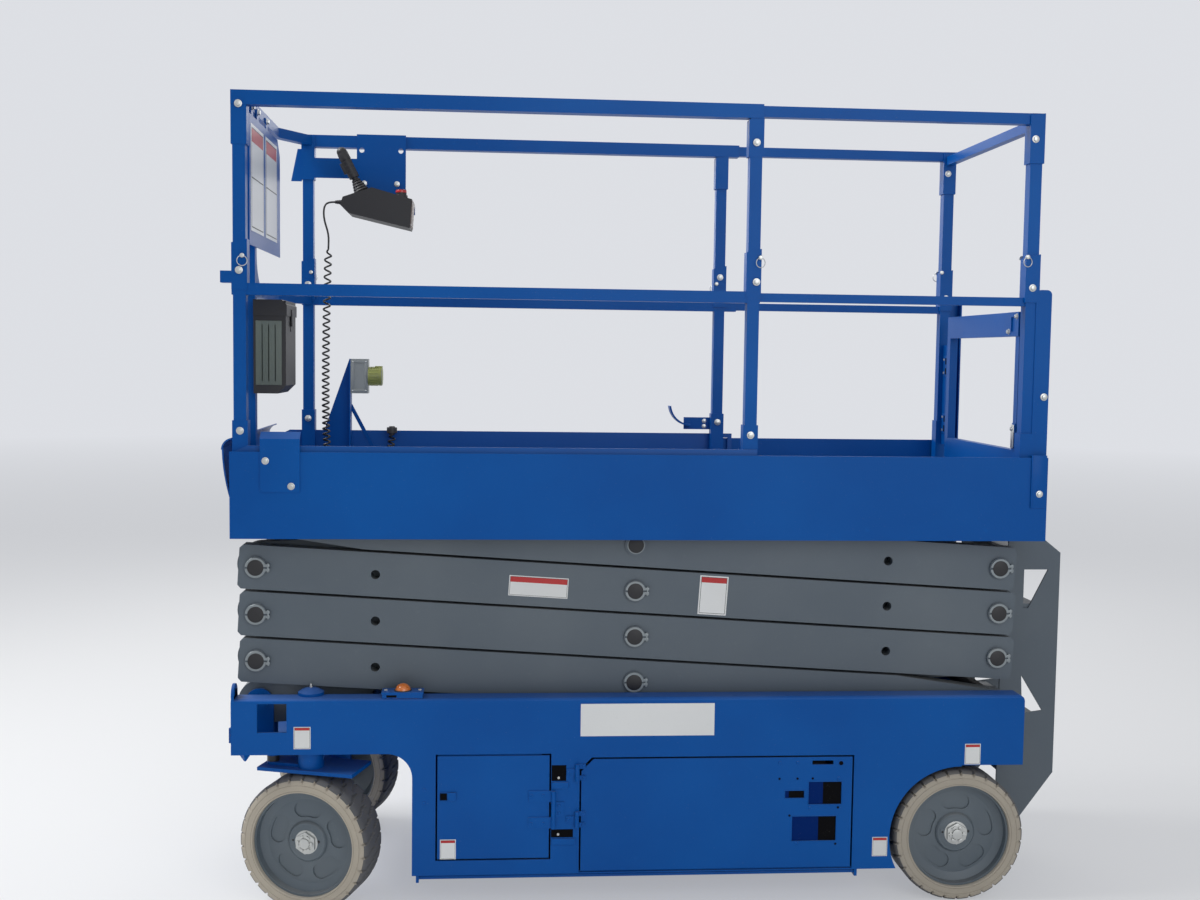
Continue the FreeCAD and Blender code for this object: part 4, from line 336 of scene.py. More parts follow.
def fill_tread_plate(tree):
    given = tree.nodes.new("NodeGroupInput").outputs
    put = tree.nodes.new("NodeGroupOutput").inputs
    place = node(tree, "ShaderNodeSeparateXYZ")
    tree.links.new(object_place(tree), place.inputs[0])
    squares, offsets = [], []
    for operation in ("ADD", "SUBTRACT"):
        turned = math_node(tree, operation, place.outputs["X"], place.outputs["Y"])
        along = math_node(tree, "DIVIDE", turned, given["Pitch"])
        squares.append(math_node(tree, "FLOOR", along))
        from_middle = math_node(tree, "SUBTRACT", math_node(tree, "FRACT", along), 0.5)
        offsets.append(math_node(tree, "ABSOLUTE", from_middle))
    odd = math_node(tree, "PINGPONG", plus(tree, *squares), 1.0)
    bars = []
    for long_way, short_way in (offsets, reversed(offsets)):
        within_ends = opposite(tree, ramp(tree, long_way, *BAR_ENDS))
        within_sides = opposite(tree, ramp(tree, short_way, *BAR_SIDES))
        bars.append(times(tree, within_ends, within_sides))
    even_bars = times(tree, bars[0], opposite(tree, odd))
    all_bars = plus(tree, even_bars, times(tree, bars[1], odd))
    tree.links.new(times(tree, all_bars, faces_up(tree, 0.90, 0.98)), put["Bar"])


fill_tread_plate(tread_plate)
print("tread group:", len(tread_plate.nodes), "nodes")


# %% [markdown]
# The decks wear the machine's blue over the tread plate. The bars rise by a millimetre and a half,
# and their tops are worn pale in patches. One bump node feeds the next, so that the paint's ripple
# stays on the bars. Then every piece of the steelwork gets the finish that its record names, but for
# the decks, and for the hinges at the sides, which were sprayed over with the chassis.

# %% The decks' finish, and a finish for every piece of the steelwork
BAR_RISE, PAINT_RIPPLE, WORN_TOPS = 0.0015, 0.0006, 0.7


def deck_finish(name, base, faded, worn):
    """The machine's paint over tread plate, with its bars worn on top."""
    material, tree, shader = new_material(name, specular=0.3)
    paint = node(tree, "ShaderNodeGroup", node_tree=worn_paint, Colour=base, Faded=faded,
                 Dustiness=0.45)
    bars = node(tree, "ShaderNodeGroup", node_tree=tread_plate).outputs["Bar"]
    patches = ramp(tree, noise(tree, object_place(tree), scale=5.0, detail=4.0), 0.40, 0.70)
    rubbed = times(tree, times(tree, bars, patches), WORN_TOPS)
    topped = mix_colour(tree, rubbed, paint.outputs["Colour"], worn)
    tree.links.new(topped, shader.inputs["Base Color"])
    tree.links.new(paint.outputs["Roughness"], shader.inputs["Roughness"])
    low = node(tree, "ShaderNodeBump", Strength=0.5, Distance=PAINT_RIPPLE)
    high = node(tree, "ShaderNodeBump", Strength=1.0, Distance=BAR_RISE)
    tree.links.new(paint.outputs["Height"], low.inputs["Height"])
    tree.links.new(bars, high.inputs["Height"])
    tree.links.new(low.outputs["Normal"], high.inputs["Normal"])
    tree.links.new(high.outputs["Normal"], shader.inputs["Normal"])
    return material


finish["deck_blue"] = deck_finish("deck_blue", colour(*BLUE), colour(*FADED_BLUE),
                                  worn=colour(122, 130, 136))
slot_of = {s["node"]: s["material_slot"] for s in frame["record"]["subparts"]}
other_finish = {"platform_deck": "deck_blue", "extension_deck": "deck_blue",
                "side_hinges": "blue_paint"}
for name, piece in nodes.items():
    piece.data.materials.clear()
    piece.data.materials.append(finish[other_finish.get(name, slot_of[name])])
print("finishes:", len(finish))


# %% [markdown]
# ## Making small pieces
# Each piece starts as a bmesh, gets its shape from bmesh operators, and is then finished the same
# way: doubles merged, normals turned outwards, soft shading with sharp edges kept, a material, and
# the body that it rides on. One helper does that, so that every piece below is only its shape.

# %% Finish a piece
TOUCHING = 0.00002


def finish_piece(form, name, material, body, sharp=38):
    """Turns a bmesh into a piece that rides on a body; material is a name in finish, or several."""
    bmesh.ops.remove_doubles(form, verts=form.verts, dist=TOUCHING)
    bmesh.ops.recalc_face_normals(form, faces=form.faces)
    mesh = bpy.data.meshes.new(name)
    form.to_mesh(mesh)
    form.free()
    names = (material,) if isinstance(material, str) else material
    for each in names:
        mesh.materials.append(finish[each])
    mesh.shade_smooth()
    mesh.set_sharp_from_angle(angle=math.radians(sharp))
    piece = bpy.data.objects.new(name, mesh)
    bpy.context.scene.collection.objects.link(piece)
    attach(piece, body)
    print(name, len(mesh.polygons), "faces")
    return piece


# %% [markdown]
# A bolt, a cap or a lamp is a disc that stands on a face, so the disc helper takes the point that it
# stands on and the direction that it points in, and softens its outer rim with a bevel. The block
# helper does the same for a box. Every disc is made upright at the origin and then turned, because
# a matrix is easier to read than turned corners.

# %% Discs and blocks
def towards(direction):
    """A turn that takes the Z axis to a direction."""
    return Vector(direction).to_track_quat("Z", "Y").to_matrix().to_4x4()


def edges_of(made):
    return {edge for vertex in made for edge in vertex.link_edges}


def paint_faces(made, slot_number):
    for face in {face for vertex in made for face in vertex.link_faces}:
        face.material_index = slot_number


def soften(form, edges, offset):
    bmesh.ops.bevel(form, geom=edges, offset=offset, affect="EDGES", segments=2, profile=0.5,
                    material=-1)


def add_disc(form, place, direction, radius, height, top=None, soft=0.0, sides=24, slot_number=0):
    """A disc, a cone or, with six sides, a hexagon, standing on a place."""
    stand = Matrix.Translation(place) @ towards(direction)
    made = bmesh.ops.create_cone(form, cap_ends=True, segments=sides, radius1=radius,
                                 radius2=radius if top is None else top, depth=height,
                                 matrix=stand @ Matrix.Translation((0, 0, height / 2)))["verts"]
    paint_faces(made, slot_number)
    if soft:
        away = stand.inverted()
        soften(form, [edge for edge in edges_of(made)
                      if all((away @ vertex.co).z > height * 0.9 for vertex in edge.verts)], soft)


def add_block(form, low, high, soft=0.0, slot_number=0, turn=None):
    """A box between two corners, with softened edges; turn is a matrix about the origin."""
    low, high = Vector(low), Vector(high)
    stand = Matrix.Translation((low + high) / 2) @ Matrix.Diagonal((*(high - low), 1))
    made = bmesh.ops.create_cube(form, size=1.0, matrix=stand)["verts"]
    paint_faces(made, slot_number)
    if turn is not None:
        bmesh.ops.transform(form, matrix=turn, verts=made)
    if soft:
        soften(form, list(edges_of(made)), soft)


def add_bolt(form, place, direction, washer=0.0105, head=0.0075, height=0.0055, slot_number=0):
    """A hexagon head on a round washer."""
    way, washer_height = Vector(direction).normalized(), 0.0018
    add_disc(form, place, way, washer, washer_height, soft=0.0005, sides=20,
             slot_number=slot_number)
    add_disc(form, Vector(place) + way * washer_height, way, head, height, soft=0.0008, sides=6,
             slot_number=slot_number)


print("helpers for discs, blocks and bolts")


# %% [markdown]
# Most small pieces of this machine sit on its left or right side, and the two sides mirror each
# other. A mirror modifier could make the second one, but the two often ride on different bodies, so
# each is made by itself. These helpers count outwards from the middle plane: side is -1 on the left
# and 1 on the right, and a face is a distance from the plane.

# %% Discs, blocks and frames on a side
SIDES = (("left", -1), ("right", 1))


def side_disc(form, side, face, x, z, radius, height, **more):
    """A disc that stands outwards from a face."""
    add_disc(form, (x, side * face, z), (0, side, 0), radius, height, **more)


def side_block(form, side, faces, low, high, soft=0.0, slot_number=0):
    """A block between two faces; low and high are corners in X and Z."""
    low_y, high_y = sorted(side * face for face in faces)
    add_block(form, (low[0], low_y, low[1]), (high[0], high_y, high[1]), soft, slot_number)


def side_frame(form, side, faces, low, high, bar, soft):
    """Four bars round an opening, outside its edge: below, above, and at its two ends."""
    (x0, z0), (x1, z1) = low, high
    for bar_low, bar_high in (((x0 - bar, z0 - bar), (x1 + bar, z0)),
                              ((x0 - bar, z1), (x1 + bar, z1 + bar)),
                              ((x0 - bar, z0), (x0, z1)), ((x1, z0), (x1 + bar, z1))):
        side_block(form, side, faces, bar_low, bar_high, soft)


print("helpers for the sides")


# %% [markdown]
# ## The curly cord of the control box
# The hand control hangs on a curly cord. It leaves the box through a ribbed gland, runs straight for
# a hand's width, coils, hangs down beside the rail, lies in a loop on the deck, and goes up into a
# clamp on the toe board. Its centre line could be drawn by hand, but a smooth NURBS spline through a
# few control points bends as a cord does and has a length that can be measured.

# %% The cord's route
CORD_WIDE = 0.006
lead_route = [(-0.988, 0.250, 2.031), (-1.011, 0.250, 2.031), (-1.023, 0.250, 2.013),
              (-1.022, 0.250, 1.975), (-1.0066, 0.250, 1.930)]
coil_route = [(-1.008, 0.250, 1.885), (-1.029, 0.250, 1.222), (-0.975, 0.277, 1.162),
              (-0.870, 0.329, 1.162), (-0.815, 0.356, 1.224), (-0.815, 0.356, 1.296)]


def smooth_line(name, places, thickness=0.0):
    """A NURBS curve with these control points."""
    curve = bpy.data.curves.new(name, "CURVE")
    curve.dimensions = "3D"
    spline = curve.splines.new("NURBS")
    spline.points.add(len(places) - 1)
    for point, place in zip(spline.points, places):
        point.co = (*place, 1.0)
    spline.order_u = 3
    spline.use_endpoint_u = True
    spline.resolution_u = 4 if thickness else 24
    curve.bevel_depth = thickness / 2
    curve.bevel_resolution = 2
    curve.use_fill_caps = thickness > 0
    return bpy.data.objects.new(name, curve)


def read_line(line):
    """Points along a curve without thickness, close together."""
    mesh = bpy.data.meshes.new_from_object(line)
    places = [vertex.co.copy() for vertex in mesh.vertices]
    bpy.data.meshes.remove(mesh)
    return places


def length_of(places):
    return sum((b - a).length for a, b in zip(places, places[1:]))


coil_line = read_line(smooth_line("coil_route", coil_route))
print("the coil's route is", round(length_of(coil_line), 3), "m long")


# %% [markdown]
# A helix with a Curve modifier could make the coil, but then nobody knows how long the cord is. Here
# the turns are more points of the cord's own spline, set round its route at even angles, so the
# whole cord is one curve. The turns are wide apart at the top, where the weight of the cord pulls
# them open, and closer below. The coil grows from nothing, and falls back to nothing at its end.

# %% Turns round the route
COIL_REACH = 0.0103
PITCH_TOP, PITCH_LOW = 0.028, 0.017
PULLED_SHARE = 0.62          # how far down its route the coil is pulled open
POINTS_PER_TURN, GROWING_POINTS = 12, 10
LOOP_ACROSS = Vector((0.444, -0.896, 0.0)).normalized()     # square to the loop on the deck


def at_distance(places, distance):
    """The place and the direction at a distance along a line."""
    for a, b in zip(places, places[1:]):
        step = (b - a).length
        if distance <= step and step > 0:
            return a.lerp(b, distance / step), (b - a).normalized()
        distance -= step
    return places[-1].copy(), (places[-1] - places[-2]).normalized()


def coil_round(places):
    """Points of a coil round a line."""
    whole = length_of(places)
    steps, distance = [], 0.0
    while distance < whole:
        steps.append(distance)
        eased = min(1.0, distance / (whole * PULLED_SHARE))
        distance += (PITCH_TOP + (PITCH_LOW - PITCH_TOP) * eased) / POINTS_PER_TURN
    turns = []
    for i, distance in enumerate(steps):
        place, way = at_distance(places, distance)
        side = (LOOP_ACROSS - way * LOOP_ACROSS.dot(way)).normalized()
        angle = 2 * math.pi * i / POINTS_PER_TURN
        reach = COIL_REACH * min(1.0, i / GROWING_POINTS, (len(steps) - 1 - i) / GROWING_POINTS)
        turns.append(place + reach * (math.cos(angle) * side + math.sin(angle) * way.cross(side)))
    return turns


coil_points = coil_round(coil_line)
cord_points = lead_route + [tuple(p) for p in coil_points] + [coil_route[-1]]
cord_length = length_of(read_line(smooth_line("cord_line", cord_points)))
cord = smooth_line("control_cord", cord_points, CORD_WIDE)
cord.data.materials.append(finish["black_cord"])
bpy.context.scene.collection.objects.link(cord)
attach(cord, "extension")
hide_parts("control_cord_lead", "control_cord_coil")
print("cord:", round(cord_length, 3), "m in", len(coil_points) // POINTS_PER_TURN, "turns")


# %% [markdown]
# Both ends of the cord are held by black plastic. Where it leaves the box, a ribbed gland keeps it
# from kinking: a stack of short cones, each smaller than the last, round a plain sleeve. One spun
# outline would do too, but the stack shows its ribs in one number. Where the cord comes back from
# the deck, a round clamp holds it, and an arm joins the clamp to the toe board.

# %% The gland and the clamp at the cord's ends
RIBS, RIB_PITCH, RIB_STEP = 6, 0.0055, 0.0007
gland_foot, forwards = Vector((-0.955, 0.250, 2.031)), Vector((-1, 0, 0))
gland = bmesh.new()
for rib in range(RIBS):
    add_disc(gland, gland_foot + forwards * (RIB_PITCH * rib), forwards, 0.0092 - RIB_STEP * rib,
             0.0042, top=0.0086 - RIB_STEP * rib, soft=0.0008, sides=20)
add_disc(gland, gland_foot - forwards * 0.002, forwards, 0.0062, 0.035, top=0.0040, sides=20)
finish_piece(gland, "control_gland", "black_plastic", "extension")

TOE_BOARD = 0.3875
clamp_x, clamp_y, _ = coil_route[-1]
clamp = bmesh.new()
for low_z, radius, height, sides in ((1.2955, 0.0168, 0.019, 28), (1.2900, 0.0095, 0.028, 20)):
    add_disc(clamp, (clamp_x, clamp_y, low_z), (0, 0, 1), radius, height, soft=0.002, sides=sides)
add_block(clamp, (clamp_x - 0.009, clamp_y + 0.010, 1.2990), (clamp_x + 0.009, TOE_BOARD, 1.3128),
          soft=0.002)
finish_piece(clamp, "cord_clamp", "black_plastic", "extension")


# %% [markdown]
# ## Bolts of the guard rails
# The rails fold down for transport, so each post stands in sleeves, and a bolt goes through every
# sleeve. Their heads differ only in their place, so they come from a table, which is easier to check
# against a photograph than forty single calls. Its columns are the body, the place along the
# machine, the height, the sides that have it, and the outer and the inner face that its heads stand
# on. The last rows have a head on the outside only: they hold the post's channel and a front plate.

# %% Bolts through the sleeves
POST, FOOT = (0.391, 0.349), (0.3877, 0.3457)
LEFT, RIGHT, BOTH = (-1,), (1,), (-1, 1)
rail_bolts = [
    # body, x, z, sides, faces outside and inside, washer
    ("extension", -1.169, 2.218, LEFT, POST, 0.0105),
    ("extension", -1.169, 1.776, LEFT, POST, 0.0105),
    ("extension", -1.169, 1.342, LEFT, FOOT, 0.0105),
    ("extension", -1.085, 1.776, RIGHT, POST, 0.0105),
    ("extension", -1.085, 1.342, RIGHT, FOOT, 0.0105),
    ("extension", 0.235, 2.150, LEFT, POST, 0.0105),
    ("extension", 0.242, 1.768, LEFT, POST, 0.0105),
    ("extension", 0.235, 1.342, LEFT, FOOT, 0.0105),
    ("extension", 0.262, 1.822, RIGHT, POST, 0.0105),
    ("extension", 0.262, 1.342, RIGHT, FOOT, 0.0105),
    ("platform", 1.024, 2.179, BOTH, POST, 0.0105),
    ("platform", 1.030, 1.765, BOTH, POST, 0.0105),
    ("platform", 1.074, 1.458, BOTH, (0.391,), 0.0105),
    ("platform", 1.076, 1.182, BOTH, (0.391,), 0.0105),
    ("platform", -1.098, 1.262, LEFT, (0.4093,), 0.0100),
    ("platform", -1.029, 1.193, LEFT, (0.4093,), 0.0100),
]
for body in ("extension", "platform"):
    bolts = bmesh.new()
    for _, x, z, sides, faces, washer in (row for row in rail_bolts if row[0] == body):
        for side in sides:
            for face, way in zip(faces, (side, -side)):
                add_bolt(bolts, (x, side * face, z), (0, way, 0), washer=washer)
    finish_piece(bolts, "rail_bolts_" + body, "zinc", body)


# %% [markdown]
# Beside some bolts sits a lock pin, which is pulled when the rails are folded. Its two ends show as
# small discs on both sides of the post, and a wire ring to pull it by hangs at the outer one. The
# ring could be a torus, but there is no operator for one in a bmesh, so a small circle is spun
# through a full turn.

# %% Lock pins with their rings
POST_THROUGH = 0.043


def made_since(form, before):
    """The vertices that a form has beside those that it had before."""
    return [vertex for vertex in form.verts if vertex not in before]


def add_ring(form, place, direction, reach, thick, steps=20, around=6):
    """A ring of round wire about a direction."""
    before = set(form.verts)
    upright = Matrix.Translation((reach, 0, 0)) @ towards((0, 1, 0))
    circle = bmesh.ops.create_circle(form, segments=around, radius=thick, cap_ends=False,
                                     matrix=upright)["verts"]
    bmesh.ops.spin(form, geom=circle + list(edges_of(circle)), cent=(0, 0, 0), axis=(0, 0, 1),
                   angle=2 * math.pi, steps=steps, use_merge=True)
    bmesh.ops.transform(form, matrix=Matrix.Translation(place) @ towards(direction),
                        verts=made_since(form, before))


lock_pins = [("extension", -1.160, -0.3915, 1.815), ("extension", -1.075, 0.3915, 1.815),
             ("extension", 0.252, -0.3915, 1.835), ("extension", 0.250, 0.3915, 1.800),
             ("platform", 1.012, -0.3915, 1.851), ("platform", 1.012, 0.3915, 1.851)]
for body in ("extension", "platform"):
    pins = bmesh.new()
    for _, x, y, z in (row for row in lock_pins if row[0] == body):
        side = math.copysign(1, y)
        for face, way in ((y, side), (y - side * POST_THROUGH, -side)):
            add_disc(pins, (x, face, z), (0, way, 0), 0.0062, 0.006, soft=0.0012, sides=16)
        add_ring(pins, (x, y + side * 0.0045, z - 0.014), (0.25, side, 0), 0.0135, 0.0012)
    finish_piece(pins, "lock_pins_" + body, "zinc", body)


# %% [markdown]
# ## Clamps on the scissor pins
# A scissor arm turns on a thick black pin. Where the pin comes through the outer arm, a split clamp
# of zinc-plated steel grips it: two half rings with a gap between them at the front and at the rear,
# and at the rear gap two small ears with a bolt through them. A whole ring with a slot cut by a
# Boolean would do, but half a ring is simply its own outline, spun through a little less than half a
# turn, with its two open ends closed.

# %% Half a clamp and its ears
CLAMP_BACK, CLAMP_FACE = 0.3362, 0.3405
CLAMP_INNER, CLAMP_OUTER, CLAMP_EDGE = 0.0226, 0.0292, 0.0012
HALF_GAP = math.radians(6)


def add_outline(form, places, closed=True):
    """Vertices joined by edges, ready to be spun."""
    points = [form.verts.new(place) for place in places]
    ends = points[1:] + points[:1] if closed else points[1:]
    return points + [form.edges.new(pair) for pair in zip(points, ends)]


def add_half_ring(form, place, side, upper):
    """Half of a split clamp round a pin that runs along Y."""
    before = set(form.verts)
    outline = add_outline(form, [(r, side * y, 0) for r, y in (
        (CLAMP_INNER, CLAMP_BACK), (CLAMP_OUTER, CLAMP_BACK),
        (CLAMP_OUTER, CLAMP_FACE - CLAMP_EDGE), (CLAMP_OUTER - CLAMP_EDGE, CLAMP_FACE),
        (CLAMP_INNER, CLAMP_FACE))])
    bmesh.ops.rotate(form, cent=(0, 0, 0), matrix=Matrix.Rotation(-HALF_GAP, 3, "Y"),
                     verts=made_since(form, before))
    bmesh.ops.spin(form, geom=outline, cent=(0, 0, 0), axis=(0, -1, 0),
                   angle=math.pi - 2 * HALF_GAP, steps=14)
    made = made_since(form, before)
    bmesh.ops.holes_fill(form, edges=[edge for edge in edges_of(made) if edge.is_boundary], sides=5)
    if not upper:
        bmesh.ops.rotate(form, cent=(0, 0, 0), matrix=Matrix.Rotation(math.pi, 3, "Y"), verts=made)
    bmesh.ops.translate(form, vec=place, verts=made)


def add_clamp(form, x, z, side):
    for upper in (True, False):
        add_half_ring(form, (x, 0, z), side, upper)
    ear_low_y = side * 0.3380 - 0.0022
    for ear_low_z in (z - 0.0102, z + 0.0022):
        add_block(form, (x + 0.0270, ear_low_y, ear_low_z),
                  (x + 0.0390, ear_low_y + 0.0044, ear_low_z + 0.0080), soft=0.001)
    add_disc(form, (x + 0.0342, side * 0.3378, z - 0.0125), (0, 0, 1), 0.0030, 0.025, soft=0.001,
             sides=10)


print("helpers for clamps")


# %% [markdown]
# The places of the pins are read from the record's joints, so that a clamp can't miss its pin: each
# level of arms has a centre pin, one at the front that carries the next level, and one at the rear
# that is level with the front one below. At the middle of the top arms there is an open eye instead
# of a clamp, and the pins end in black caps.

# %% Clamps and black pin ends on every level
LEVELS = (1, 2, 3, 4)
MIDDLE_OF_ARMS = 0.5            # a pin that is further than this from the rear pins is a centre pin
joints = frame["record"]["behaviour"]["joints"]
joint_at = {joint["name"]: Vector(joint["pos_m"]) for joint in joints if joint.get("pos_m")}
rear_pins_x = joint_at["base_block_pivot"].x
scissor_pins = {}
for level in LEVELS:
    centre = joint_at["centre_pins_%d" % level]
    places = [(centre.x, centre.z)]
    if level < LEVELS[-1]:
        front = joint_at["front_pins_%d" % level]
        places.append((front.x, front.z))
    if level > LEVELS[0]:
        places.append((rear_pins_x, joint_at["front_pins_%d" % (level - 1)].z))
    scissor_pins["outer_%d" % level] = places

for body, places in scissor_pins.items():
    clamps, ends = bmesh.new(), bmesh.new()
    for x, z in places:
        open_eye = body == "outer_4" and x < rear_pins_x - MIDDLE_OF_ARMS
        for side in (-1, 1):
            if open_eye:
                add_ring(clamps, (x, side * CLAMP_BACK, z), (0, side, 0), 0.0225, 0.0035, steps=32,
                         around=8)
            else:
                add_clamp(clamps, x, z, side)
            side_disc(ends, side, CLAMP_FACE - 0.006, x, z, 0.0222, 0.0065, soft=0.001, sides=28)
    finish_piece(clamps, "pin_clamps_" + body, "dull_zinc", body)
    finish_piece(ends, "pin_ends_" + body, "black_plastic", body)


# %% [markdown]
# ## Tyres
# The tyres are solid rubber that doesn't mark floors: pale sidewalls, and a darker rolling face with
# thirty curved grooves. A tread could be a bump in the material, but then the tyre's edge would be a
# smooth circle. Here the outline of the tyre is spun through a full turn in 270 steps, and every
# ninth ring is pushed in, which gives thirty grooves across the shoulder. On the rolling face the
# pushed ring shifts from point to point, so that its grooves curve. The columns of the outline are
# the distance from the tyre's middle plane and the radius.

# %% A tyre, spun and pressed
STEPS, BLOCK_STEPS = 270, 9
SHOULDER_RADIUS, TREAD_RADIUS, TREAD_DEPTH = 0.175, 0.190, 0.0065
DARK_RADIUS, DARK_HALF = 0.1835, 0.0585
TYRE_RADIUS = 0.1905
half_outline = [(0.0600, 0.1484), (0.0624, 0.1490), (0.0634, 0.1504), (0.0634, 0.1530),
                (0.0620, 0.1540), (0.0634, 0.1550), (0.0632, 0.1690), (0.0619, 0.1700),
                (0.0631, 0.1712), (0.0624, 0.1770), (0.0602, 0.1830), (0.0560, 0.1872),
                (0.0505, 0.1896), (0.0440, TYRE_RADIUS), (0.0340, TYRE_RADIUS),
                (0.0220, TYRE_RADIUS), (0.0110, TYRE_RADIUS)]
shoulder_push = {0.0624: (0.000, 0.0030), 0.0602: (0.004, 0.0060), 0.0560: (0.007, 0.0060),
                 0.0505: (0.008, 0.0)}   # point of the outline: how far in, how far sideways
groove_shift = {0.0440: 0, 0.0340: 1, 0.0220: 2, 0.0110: 3, 0.0: 3}


def press_grooves(form):
    """Pushes every ninth ring of a spun tyre inwards."""
    for vertex in form.verts:
        a, r = vertex.co.y, math.hypot(vertex.co.x, vertex.co.z)
        step = round(math.degrees(math.atan2(vertex.co.x, vertex.co.z)) / 360 * STEPS)
        deeper, inwards = 0.0, 0.0
        key = round(abs(a), 4)
        if key in shoulder_push and r > SHOULDER_RADIUS and step % BLOCK_STEPS == 0:
            deeper, inwards = shoulder_push[key]
        if key in groove_shift and r > TREAD_RADIUS:
            shift = int(math.copysign(groove_shift[key], a))
            if (step - shift) % BLOCK_STEPS == 0:
                deeper = TREAD_DEPTH
        share = (r - deeper) / r
        sideways = a - math.copysign(inwards, a)
        vertex.co = Vector((vertex.co.x * share, sideways, vertex.co.z * share))


def tyre_form():
    form = bmesh.new()
    outline = half_outline + [(0.0, TYRE_RADIUS)] + [(-a, r) for a, r in reversed(half_outline)]
    bmesh.ops.spin(form, geom=add_outline(form, [(0, a, r) for a, r in outline]), cent=(0, 0, 0),
                   axis=(0, 1, 0), angle=2 * math.pi, steps=STEPS, use_merge=True)
    press_grooves(form)
    for face in form.faces:
        middle = face.calc_center_median()
        if math.hypot(middle.x, middle.z) > DARK_RADIUS and abs(middle.y) < DARK_HALF:
            face.material_index = 1
    return form


print("a tyre has", STEPS // BLOCK_STEPS, "grooves")


# %% [markdown]
# The front wheels are parked turned, so a tyre is made upright about the Y axis and then laid on its
# wheel by a matrix, whose Y axis is the axle. The axle's direction comes from the joint that the
# wheel spins on. A CAD solid holds the same space as each tyre, and the tyre stands for it.

# %% Four tyres on their wheels
def wheel_place(tyre_name, outward):
    """A matrix whose Y axis is the axle, outwards, with its origin in the middle of the tyre."""
    low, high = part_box(tyre_name)
    out, up = Vector(outward).normalized(), Vector((0, 0, 1))
    return axes_at(out.cross(up), out, up, (Vector(low) + Vector(high)) / 2)


wheels = []
for side_name, side in SIDES:
    spin_axis = next(Vector(joint["axis"]) for joint in joints
                     if joint["name"] == "front_wheel_spin_" + side_name)
    wheels.append(("front", side_name, spin_axis * side, "steer_" + side_name))
    wheels.append(("rear", side_name, Vector((0, side, 0)), "chassis"))
for end, side_name, outward, carrier in wheels:
    form = tyre_form()
    tyre_name = "%s_tyre_%s" % (end, side_name)
    bmesh.ops.transform(form, matrix=wheel_place(tyre_name, outward), verts=form.verts)
    dressed = finish_piece(form, "%s_treaded_tyre_%s" % (end, side_name), ("tyre", "tyre_face"),
                           "%s_wheel_%s" % (end, side_name), sharp=28)
    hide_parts(tyre_name)


# %% [markdown]
# The wheel's disc has a low round boss about its hub, with two small plugs and a small plate. The
# boss could be modelled ring by ring, but a stepped outline that is spun shows its whole section in
# one table: the distance out from the wheel's middle, and the radius.

# %% Hub bosses
FULL_TURN = dict(cent=(0, 0, 0), axis=(0, 1, 0), angle=2 * math.pi, use_merge=True)
OUTWARDS = (0, 1, 0)
boss_outline = [(0.0227, 0.0580), (0.0274, 0.0560), (0.0300, 0.0520), (0.0294, 0.0490),
                (0.0314, 0.0450), (0.0318, 0.0330), (0.0305, 0.0315), (0.0308, 0.0200)]


def add_boss(form):
    outline = add_outline(form, [(0, a, r) for a, r in boss_outline], closed=False)
    bmesh.ops.spin(form, geom=outline, steps=64, **FULL_TURN)
    for x in (-0.0365, 0.0365):
        add_disc(form, (x, 0.0300, 0.004), OUTWARDS, 0.0042, 0.0024, sides=16, slot_number=1)
    add_block(form, (0.026, 0.0315, -0.007), (0.046, 0.0328, 0.012), soft=0.0005)
    add_disc(form, (0.0395, 0.0326, 0.003), OUTWARDS, 0.0032, 0.0008, sides=16, slot_number=1)


print("boss:", len(boss_outline), "points to spin")


# %% [markdown]
# A castle nut holds the wheel on its axle: a washer, a hexagon with six small blocks on top, and a
# split pin that lies between two of them. The blocks are one block, turned six times, because a
# loop keeps them alike. The nut stays with the axle while the wheel turns, so it rides on what
# carries the wheel, and the boss rides on the wheel.

# %% Castle nuts, split pins, and both on every wheel
DISC_FACE = 0.0295


def add_castle_nut(form):
    add_disc(form, (0, DISC_FACE + 0.0014, 0), OUTWARDS, 0.0340, 0.002, soft=0.0006, sides=32)
    add_disc(form, (0, DISC_FACE + 0.0030, 0), OUTWARDS, 0.0318, 0.0100, soft=0.0010, sides=6)
    for k in range(6):
        add_block(form, (-0.0066, DISC_FACE + 0.0120, 0.0162), (0.0066, DISC_FACE + 0.0182, 0.0235),
                  soft=0.0012, turn=Matrix.Rotation(math.radians(60 * k + 30), 4, "Y"))
    add_disc(form, (-0.026, DISC_FACE + 0.0158, 0), (1, 0, 0), 0.0018, 0.052, sides=8)
    add_disc(form, (0, DISC_FACE + 0.0120, 0), OUTWARDS, 0.0150, 0.0070, soft=0.001, sides=20)


for end, side_name, outward, carrier in wheels:
    place = wheel_place("%s_tyre_%s" % (end, side_name), outward)
    for add_form, name, material, body in (
            (add_boss, "hub_boss", ("rim_grey", "black_plastic"), "%s_wheel_%s" % (end, side_name)),
            (add_castle_nut, "castle_nut", "zinc", carrier)):
        form = bmesh.new()
        add_form(form)
        bmesh.ops.transform(form, matrix=place, verts=form.verts)
        finish_piece(form, "%s_%s_%s" % (end, name, side_name), material, body)
